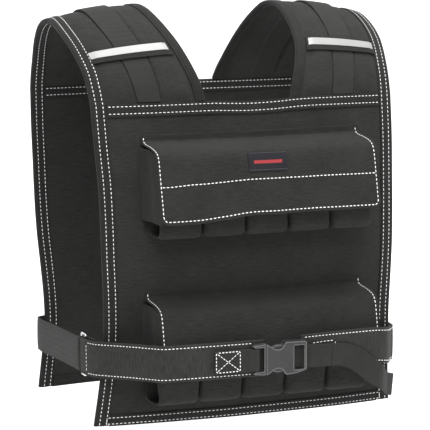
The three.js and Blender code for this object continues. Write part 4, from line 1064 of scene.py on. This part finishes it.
ls = np.linspace(-0.203, 0.144, 24)
lk = np.linspace(6.0, 7.58, 12)
gs, gk = np.meshgrid(ls, lk)
o = make_slab("blank_label", flap_at("upper", gs, gk, 0.2), flap_at("upper", gs, gk, 0.9), LABEL)
stand_for("label_patch")
rim = [(s, 6.06) for s in np.linspace(-0.197, 0.138, 12)] + [(0.138, 7.5)] + [
    (s, 7.5) for s in np.linspace(0.138, -0.197, 12)] + [(-0.197, 6.06)]
line, n = flap_line("upper", rim, 0.85)
stitch("label", line, n, pitch=1.9, length=1.3, width=0.45, height=0.25)


# Belts

def belt_points(path):
    p = np.array(path, float)
    return np.stack([p[:, 0] * HALF + p[:, 1] * FLAP_WIDTH / 2, p[:, 2] * DEPTH - p[:, 3] * POCKET_OUT,
                     BELT_Z + p[:, 4] * BELT_WIDTH], -1)


def centripetal(points, count):
    """Evenly spaced points along a centripetal Catmull-Rom curve, with tangents."""
    n = len(points)
    ext = np.vstack([2 * points[0] - points[1], points, 2 * points[-1] - points[-2]])
    dense = []
    for i in range(n - 1):
        p0, p1, p2, p3 = ext[i:i + 4]
        d0, d1, d2 = (max(1e-6, float(np.sum((b - a) ** 2))) ** 0.25 for a, b in ((p0, p1), (p1, p2), (p2, p3)))
        t1 = ((p1 - p0) / d0 - (p2 - p0) / (d0 + d1) + (p2 - p1) / d1) * d1
        t2 = ((p2 - p1) / d1 - (p3 - p1) / (d1 + d2) + (p3 - p2) / d2) * d1
        dense += [hermite(p1, p2, t1, t2, w) for w in np.linspace(0, 1, 24, endpoint=i == n - 2)]
    dense = np.array(dense)
    run = run_of(dense)
    return resample(dense, run, np.linspace(0, run[-1], count + 1))


def belt_frames(path, count, sign=1):
    e = centripetal(belt_points(path), count)
    t = unit(np.gradient(e, axis=0))
    n = unit(np.stack([t[:, 1], -t[:, 0], np.zeros(len(t))], -1))
    return e, unit(np.cross(n, t)), n * sign


TURN_ROWS = 12
FOLD_ROWS = TURN_ROWS + 2


def hairpin(frames, radius, length=16.0):
    """Frames that start with a fold back on themselves round a wire."""
    e, a, n = frames
    ahead = unit(e[1] - e[0])
    w = np.pi * np.arange(TURN_ROWS)[:, None] / TURN_ROWS
    turn = -n[0] * np.cos(w) - ahead * np.sin(w)
    ns = np.concatenate([[-n[0], -n[0]], turn])
    es = e[0] - n[0] * radius + ns * radius
    es[:2] += ahead * np.array([[length], [length * 0.5]])
    return np.concatenate([es, e]), np.concatenate([np.repeat(a[:1], len(es), 0), a]), np.concatenate([ns, n])


def belt_section(width, thick, row=None):
    """Flat strap section; the padded belt dips at its stitch rows."""
    a = np.linspace(-width / 2 + 0.6, width / 2 - 0.6, 25)
    if row is not None:
        a = np.unique(np.concatenate([a, [row, -row]]))
    h = np.full(len(a), thick / 2)
    if row is not None:
        h = h + 0.35 * np.cos(a / row * np.pi / 2).clip(0, 1) ** 0.7
        for r in (row, -row):
            h = h - 0.35 * np.exp(-((a - r) / 0.8) ** 2)
    top = list(zip(a, h))
    right = [(width / 2 - 0.1, thick * 0.25), (width / 2, 0.0), (width / 2 - 0.1, -thick * 0.25)]
    left = [(-x, -y) for x, y in right]
    return top + right + [(x, -y) for x, y in reversed(top)] + left


RING_WIRE, BELT_ROW = 2.6, 16.4
BACK_WIDTH, BACK_THICK = 37.0, 2.2
LOOP = RING_WIRE / 2 + 1.2 + BELT_THICK / 2
LEFT = hairpin(belt_frames(LEFT_BELT, 150), LOOP)
o = sweep("belt_cloth_left", belt_section(BELT_WIDTH, BELT_THICK, BELT_ROW), LEFT, BELT_WEB)
stand_for("belt_left")
RIGHT = belt_frames(RIGHT_BELT, 240)
narrow = 0.86 + 0.14 * ramp(RIGHT[0][:, 0], 40, 105)
narrow[RIGHT[0][:, 1] > 0] = 1.0
RIGHT = (RIGHT[0] + RIGHT[1] * ((1 - narrow) * BELT_WIDTH / 2)[:, None], RIGHT[1] * narrow[:, None], RIGHT[2])
o = sweep("belt_cloth_right", belt_section(BELT_WIDTH, BELT_THICK, BELT_ROW), RIGHT, BELT_WEB)
stand_for("belt_right")
BACK_LOOP = RING_WIRE / 2 + 1.2 + BACK_THICK / 2
ROUND = hairpin(belt_frames(BACK_STRAP, 200, -1), BACK_LOOP)
o = sweep("belt_web_back", belt_section(BACK_WIDTH, BACK_THICK, BELT_ROW), ROUND, GREY_WEB)
stand_for("belt_back")


def belt_rows(frames, lo, hi):
    """Both long stitch rows of a padded belt, between two of its frames."""
    e, a, n = (q[lo:hi] for q in frames)
    for h in (BELT_ROW, -BELT_ROW):
        stitch("belts", e + a * h + n * (BELT_THICK / 2 + 0.1), n, **BELT_STITCH)


# The left belt is sewn from a row across it, behind its loop, to where the buckle covers it
LOOP_END, SEWN_TO = FOLD_ROWS + 9, -28.5
belt_rows(LEFT, LOOP_END + 1, 60 + int(np.argmin(np.abs(LEFT[0][60:, 0] - SEWN_TO))))
e, a, n = (q[LOOP_END] for q in LEFT)
corner = [e + a * h + n * (BELT_THICK / 2 + 0.3) for h in np.linspace(BELT_ROW - 1.5, 1.5 - BELT_ROW, 12)]
stitch("belts", corner, n, **BELT_STITCH)
belt_rows(RIGHT, 2, -2)


# Wire ring

front_pin, back_pin = (
    f[0][FOLD_ROWS] - f[2][FOLD_ROWS] * r for f, r in ((LEFT, LOOP), (ROUND, BACK_LOOP)))
mid = (front_pin + back_pin) / 2
flat = back_pin - front_pin
flat[2] = 0
reach = np.linalg.norm(flat) / 2
flat /= np.linalg.norm(flat)
RING_HEIGHT, RING_CORNER = 47.0, 2.2
path = rounded_ring(reach, (RING_HEIGHT - RING_WIRE) / 2, RING_CORNER, 8, 0)
path = mid + path[:, :1] * flat + path[:, 1:] * [0, 0, 1.0]
across = np.cross(flat, [0, 0, 1.0])
outward = np.cross(unit(np.roll(path, -1, 0) - np.roll(path, 1, 0)), across)
w = np.linspace(0, 2 * math.pi, 16, endpoint=False)[:, None]
tube = path[:, None] + (outward[:, None] * np.cos(w) + across * np.sin(w)) * RING_WIRE / 2
i = np.arange(tube.size // 3).reshape(tube.shape[:2])
j = np.roll(i, -1, 1)
faces = np.stack([i, j, np.roll(j, -1, 0), np.roll(i, -1, 0)], -1).reshape(-1, 4)
o = make("wire_ring", tube.reshape(-1, 3), faces, material=CHROME, sharp=0)
stand_for("side_ring")


# Buckle

# Centre of the join, then height, thickness, and the lengths of the socket and of the plug's arms
BX = -0.100 * HALF
BZ = BELT_Z + 0.04 * BELT_WIDTH
BELT_LINE = -0.6 * DEPTH - 1.131 * POCKET_OUT
BH, BT, FL, MR = 34.0, 9.0, 46.0, 14.0
BY = BELT_LINE - BELT_THICK / 2 - GAP - BT / 2


def outline_curve(points, per=4):
    """Smooth closed outline through points in x, z."""
    p = np.array(points, float)
    n = len(p)
    out = []
    for i in range(n):
        p0, p1, p2, p3 = p[i - 1], p[i], p[(i + 1) % n], p[(i + 2) % n]
        out += [hermite(p1, p2, (p2 - p0) * 0.4, (p3 - p1) * 0.4, q) for q in np.arange(per) / per]
    return np.array(out)


def plate(name, points, thick, y=0.0):
    """Flat plate from an outline in x, z, in the buckle's own place."""
    p = np.asarray(points, float)
    verts = np.concatenate([np.column_stack([p[:, 0], np.full(len(p), y + d), p[:, 1]])
                            for d in (-thick / 2, thick / 2)])
    return make(name, verts + [BX, BY, BZ], tube_faces(2, len(p)), material=PLASTIC, sharp=30)


def finish_plastic(o, width):
    """Rounded edges with even shading on the flat faces."""
    soften(o, width, 3, 32)
    applied(o)
    o.data.shade_smooth()
    for f in o.data.polygons:
        if abs(f.normal.y) > 0.985:
            f.use_smooth = False


def box(name, x0, x1, y0, y1, z0, z1):
    return plate(name, [(x0, z0), (x1, z0), (x1, z1), (x0, z1)], y1 - y0, (y0 + y1) / 2)


SOCKET = [(0.00, 0.20), (0.00, 0.40), (0.005, 0.465), (0.03, 0.475), (0.08, 0.43), (0.15, 0.365), (0.22, 0.315),
          (0.31, 0.30), (0.385, 0.335), (0.43, 0.42), (0.465, 0.495), (0.505, 0.512), (0.60, 0.512), (0.80, 0.508),
          (0.94, 0.50), (0.985, 0.485), (1.00, 0.44), (1.00, 0.20)]
SOCKET_LOW = [(1.00, -0.20), (1.00, -0.36), (0.985, -0.395), (0.94, -0.42), (0.80, -0.475), (0.65, -0.505),
              (0.52, -0.515), (0.475, -0.50), (0.44, -0.42), (0.39, -0.335), (0.31, -0.30), (0.22, -0.315),
              (0.15, -0.365), (0.08, -0.43), (0.03, -0.475), (0.005, -0.465), (0.00, -0.40), (0.00, -0.20)]
pts = outline_curve([(a * FL, b * BH) for a, b in SOCKET + SOCKET_LOW])
socket = plate("socket_shell", pts, BT)
cut(socket, box("c1", 0.685 * FL, 0.945 * FL, -BT, BT, -0.385 * BH, 0.385 * BH))
cut(socket, box("c2", -2, 0.45 * FL, -2.47, 2.47, -0.42 * BH - 0.4, 0.42 * BH + 0.4))
cut(socket, box("c3", 0.95 * FL, FL + 2, -BT * 0.02, BT, -BH, BH))
finish_plastic(socket, 0.9)
stand_for("buckle_socket")

arm_top, arm_low, arm_thick = 0.49 * BH, 0.385 * BH, 0.62 * BT
prong_thick, prong_to = 0.46 * BT, 0.45 * FL - 0.8
plug = box("plug_frame", -MR * 0.13, -0.45, -arm_thick / 2, arm_thick / 2, -arm_top, arm_top)
for sign in (1, -1):
    arm = [(-MR, sign * arm_low * 1.12), (-MR * 0.93, sign * arm_low * 1.02), (-MR * 0.5, sign * arm_low * 0.99),
           (-0.5, sign * arm_low), (-0.5, sign * arm_top), (-MR * 0.45, sign * (arm_low + arm_top) * 0.54),
           (-MR * 0.86, sign * (arm_low + arm_top) * 0.525)]
    cut(plug, plate("arm", arm if sign > 0 else arm[::-1], arm_thick), "UNION")
    prong = [(-MR * 0.1, 0.20), (prong_to, 0.20), (prong_to, 0.40), (0.37 * FL, 0.425), (0.30 * FL, 0.435),
             (0.23 * FL, 0.415), (0.16 * FL, 0.37), (0.12 * FL, 0.33), (-MR * 0.1, 0.33)]
    prong = [(x, sign * z * BH) for x, z in prong]
    cut(plug, plate("prong", prong if sign > 0 else prong[::-1], prong_thick), "UNION")
bar_x, BAR_R, BAR_SIDES = -0.70 * MR, 1.5, 20
w = np.linspace(0, 2 * math.pi, BAR_SIDES, endpoint=False)
ring = np.stack([BX + bar_x + BAR_R * np.cos(w), BY + BAR_R * np.sin(w), np.full(BAR_SIDES, BZ)], -1)
bar = np.concatenate([ring - [0, 0, 0.96 * arm_top], ring + [0, 0, 0.96 * arm_top]])
cut(plug, make("bar", bar, tube_faces(2, BAR_SIDES), material=PLASTIC), "UNION")
finish_plastic(plug, 0.8)
stand_for("buckle_plug")


# Webbing round the plug's bar, and the loose tail

LOOP_R = BAR_R + GAP + WEB_THICK / 2
top_y = BELT_LINE - BELT_THICK / 2 - 0.45 - WEB_THICK - 0.2 - WEB_THICK / 2
low_y = top_y + WEB_THICK + 0.2
bar_pos = np.array([BX + bar_x, BY, BZ])
box_x = -0.425 * HALF


def lead(y, edge):
    """The webbing's way between a flat run at y and the edge of its turn round the bar."""
    return [(bar_pos[0] - x, y + share * (edge - y)) for x, share in ((14, 0), (10, 0.15), (7, 0.5), (3.5, 0.9))]


loop = [(box_x + 2.8, low_y)] + lead(low_y, BY + LOOP_R)
loop += [(bar_pos[0] + LOOP_R * math.cos(r), BY - LOOP_R * math.sin(r))
         for r in np.radians(np.linspace(-90, 90, 13))]
loop += lead(top_y, BY - LOOP_R)[::-1] + [(bar_pos[0] - 25, top_y), (box_x + 14, top_y), (box_x, top_y)]
loop = np.array([(x, y, BZ) for x, y in loop])
t = unit(np.gradient(loop, axis=0))
frames = (loop, np.tile([0, 0, 1.0], (len(loop), 1)), np.stack([t[:, 1], -t[:, 0], np.zeros(len(t))], -1))
o = sweep("buckle_loop_web", belt_section(24.0, WEB_THICK), frames, WEB)
stand_for("buckle_webbing")

# Crossed box of stitches on the loop's end
bx0, bx1, bz0, bz1 = box_x + 1.6, box_x + 28.5, BZ - 10.6, BZ + 10.6
face = top_y - WEB_THICK / 2 - 0.1
rect = [(bx0 + 1.5, bz1), (bx1 - 1.5, bz1), (bx1, bz1 - 1.5), (bx1, bz0 + 1.5), (bx1 - 1.5, bz0), (bx0 + 1.5, bz0),
        (bx0, bz0 + 1.5), (bx0, bz1 - 1.5), (bx0 + 1.5, bz1)]
front_n = np.array([0, -1.0, 0])
stitch("belts", [(x, face, z) for x, z in rect], front_n,
       pitch=3.8, length=2.6, width=1.1, height=0.6)
for z0, z1 in ((bz0 + 1, bz1 - 1), (bz1 - 1, bz0 + 1)):
    stitch("belts", [(bx0 + 1, face, z0), (bx1 - 1, face, z1)], front_n,
           pitch=3.8, length=3.0, width=0.9, height=0.6)

# Loose tail, with a crease where the sewn part ends
tail = belt_frames(TAIL, 260)
crease = 0.9 * (1 - ramp(tail[0][:, 0], 58.4, 60.0)) - 0.9 * np.exp(-((tail[0][:, 0] - 60.2) / 0.9) ** 2)
crease = crease * ramp(tail[0][:, 0], 29, 36)
tail = (tail[0] + tail[2] * crease[:, None], tail[1], tail[2])
o = sweep("loose_web", belt_section(24.6, WEB_THICK), tail, WEB)
stand_for("webbing_tail")

# The box of stitches that fastens the socket's webbing shows above the tail
e, a, n = RIGHT
start, end = (int(np.argmin(np.abs(e[:90, 0] - x))) for x in (38.0, 65.0))
e, a, n = (q[start:end + 1] for q in (e, a, n))
row_up = np.linspace(8.0, 9.4, len(e))
stitch("belts", e + a * row_up[:, None] + n * (BELT_THICK / 2 + 0.4), n, **BELT_STITCH)
last = e[-1] + n[-1] * (BELT_THICK / 2 + 0.35) + [1.6, 0, 0]
stitch("belts", [last + a[-1] * h for h in np.linspace(9, -11, 12)], n[-1], **BELT_STITCH)


# Thread

for group, runs in STITCHES.items():
    v, one = np.concatenate(runs), stitch_faces()
    faces = [[q + i * 20 for q in f] for i in range(len(v)) for f in one]
    make(f"thread_{group}", v.reshape(-1, 3), faces, material=DARK_THREAD if group == "label" else THREAD, sharp=0)


# Stage

FLOOR_Z, STAGE_HALF, COVE_AT, COVE_R, WALL_TOP = -0.5573, 9.0, 3.2, 1.2, 5.0
cove = [(COVE_AT + COVE_R * math.sin(w), FLOOR_Z + COVE_R - COVE_R * math.cos(w))
        for w in np.linspace(0, math.pi / 2, 16)]
pts = [(-STAGE_HALF, FLOOR_Z)] + cove + [(COVE_AT + COVE_R, WALL_TOP)]
verts = [(x, y, z) for y, z in pts for x in (-STAGE_HALF, STAGE_HALF)]
faces = [[2 * i, 2 * i + 1, 2 * i + 3, 2 * i + 2] for i in range(len(pts) - 1)]
me = bpy.data.meshes.new("floor")
me.from_pydata(verts, [], faces)
me.shade_smooth()
floor = bpy.data.objects.new("floor", me)
bpy.context.scene.collection.objects.link(floor)
mat, nt, _ = new_material("pale_floor")
dress(nt, Base_Color=(0.93, 0.93, 0.93, 1), Roughness=0.9)
me.materials.append(mat)

for name, at, size, power, target in (
        ("key_light", (-1.0, -2.4, 2.3), 1.8, 82, (0, 0, -0.22)),
        ("fill_light", (2.4, -1.8, 0.9), 2.2, 19, (0, 0, -0.22)),
        ("top_light", (0.2, -0.3, 2.6), 2.0, 106, (0, 0, -0.22)),
        ("back_light", (0.9, 1.5, 2.2), 2.0, 100, (1.7, 4.2, 0.8))):
    light = bpy.data.lights.new(name, "AREA")
    light.shape, light.size, light.energy = "SQUARE", size, power
    o = bpy.data.objects.new(name, light)
    bpy.context.scene.collection.objects.link(o)
    o.location = at
    o.rotation_mode = "QUATERNION"
    o.rotation_quaternion = (Vector(target) - Vector(at)).to_track_quat("-Z", "Y")
world = bpy.data.worlds.new("studio")
world.use_nodes = True
world.node_tree.nodes["Background"].inputs[0].default_value = (1, 1, 1, 1)
world.node_tree.nodes["Background"].inputs[1].default_value = 0.38
bpy.context.scene.world = world
bpy.context.scene.view_settings.view_transform = "Standard"


# Camera at the photograph's angle

AZIMUTH, ELEVATION, DISTANCE, FOCAL_PX, IMAGE_PX = -21.91, 9.02, 2572.14, 2293.01, 430
az, el = math.radians(AZIMUTH), math.radians(ELEVATION)
back = np.array([math.sin(az) * math.cos(el), -math.cos(az) * math.cos(el), math.sin(el)])
right = np.array([math.cos(az), math.sin(az), 0.0])
up = np.cross(back, right)
target = np.array([0, 0, 220.0]) + right * 3.49 + up * -14.25
cam = bpy.data.objects.new("camera", bpy.data.cameras.new("camera"))
bpy.context.scene.collection.objects.link(cam)
cam.location = place(target + back * DISTANCE)
cam.rotation_mode = "QUATERNION"
cam.rotation_quaternion = Matrix([right, up, back]).transposed().to_quaternion()
cam.data.sensor_width = 36.0
cam.data.lens = cam.data.sensor_width * FOCAL_PX / IMAGE_PX
cam.data.clip_start, cam.data.clip_end = 0.05, 30
bpy.context.scene.camera = cam
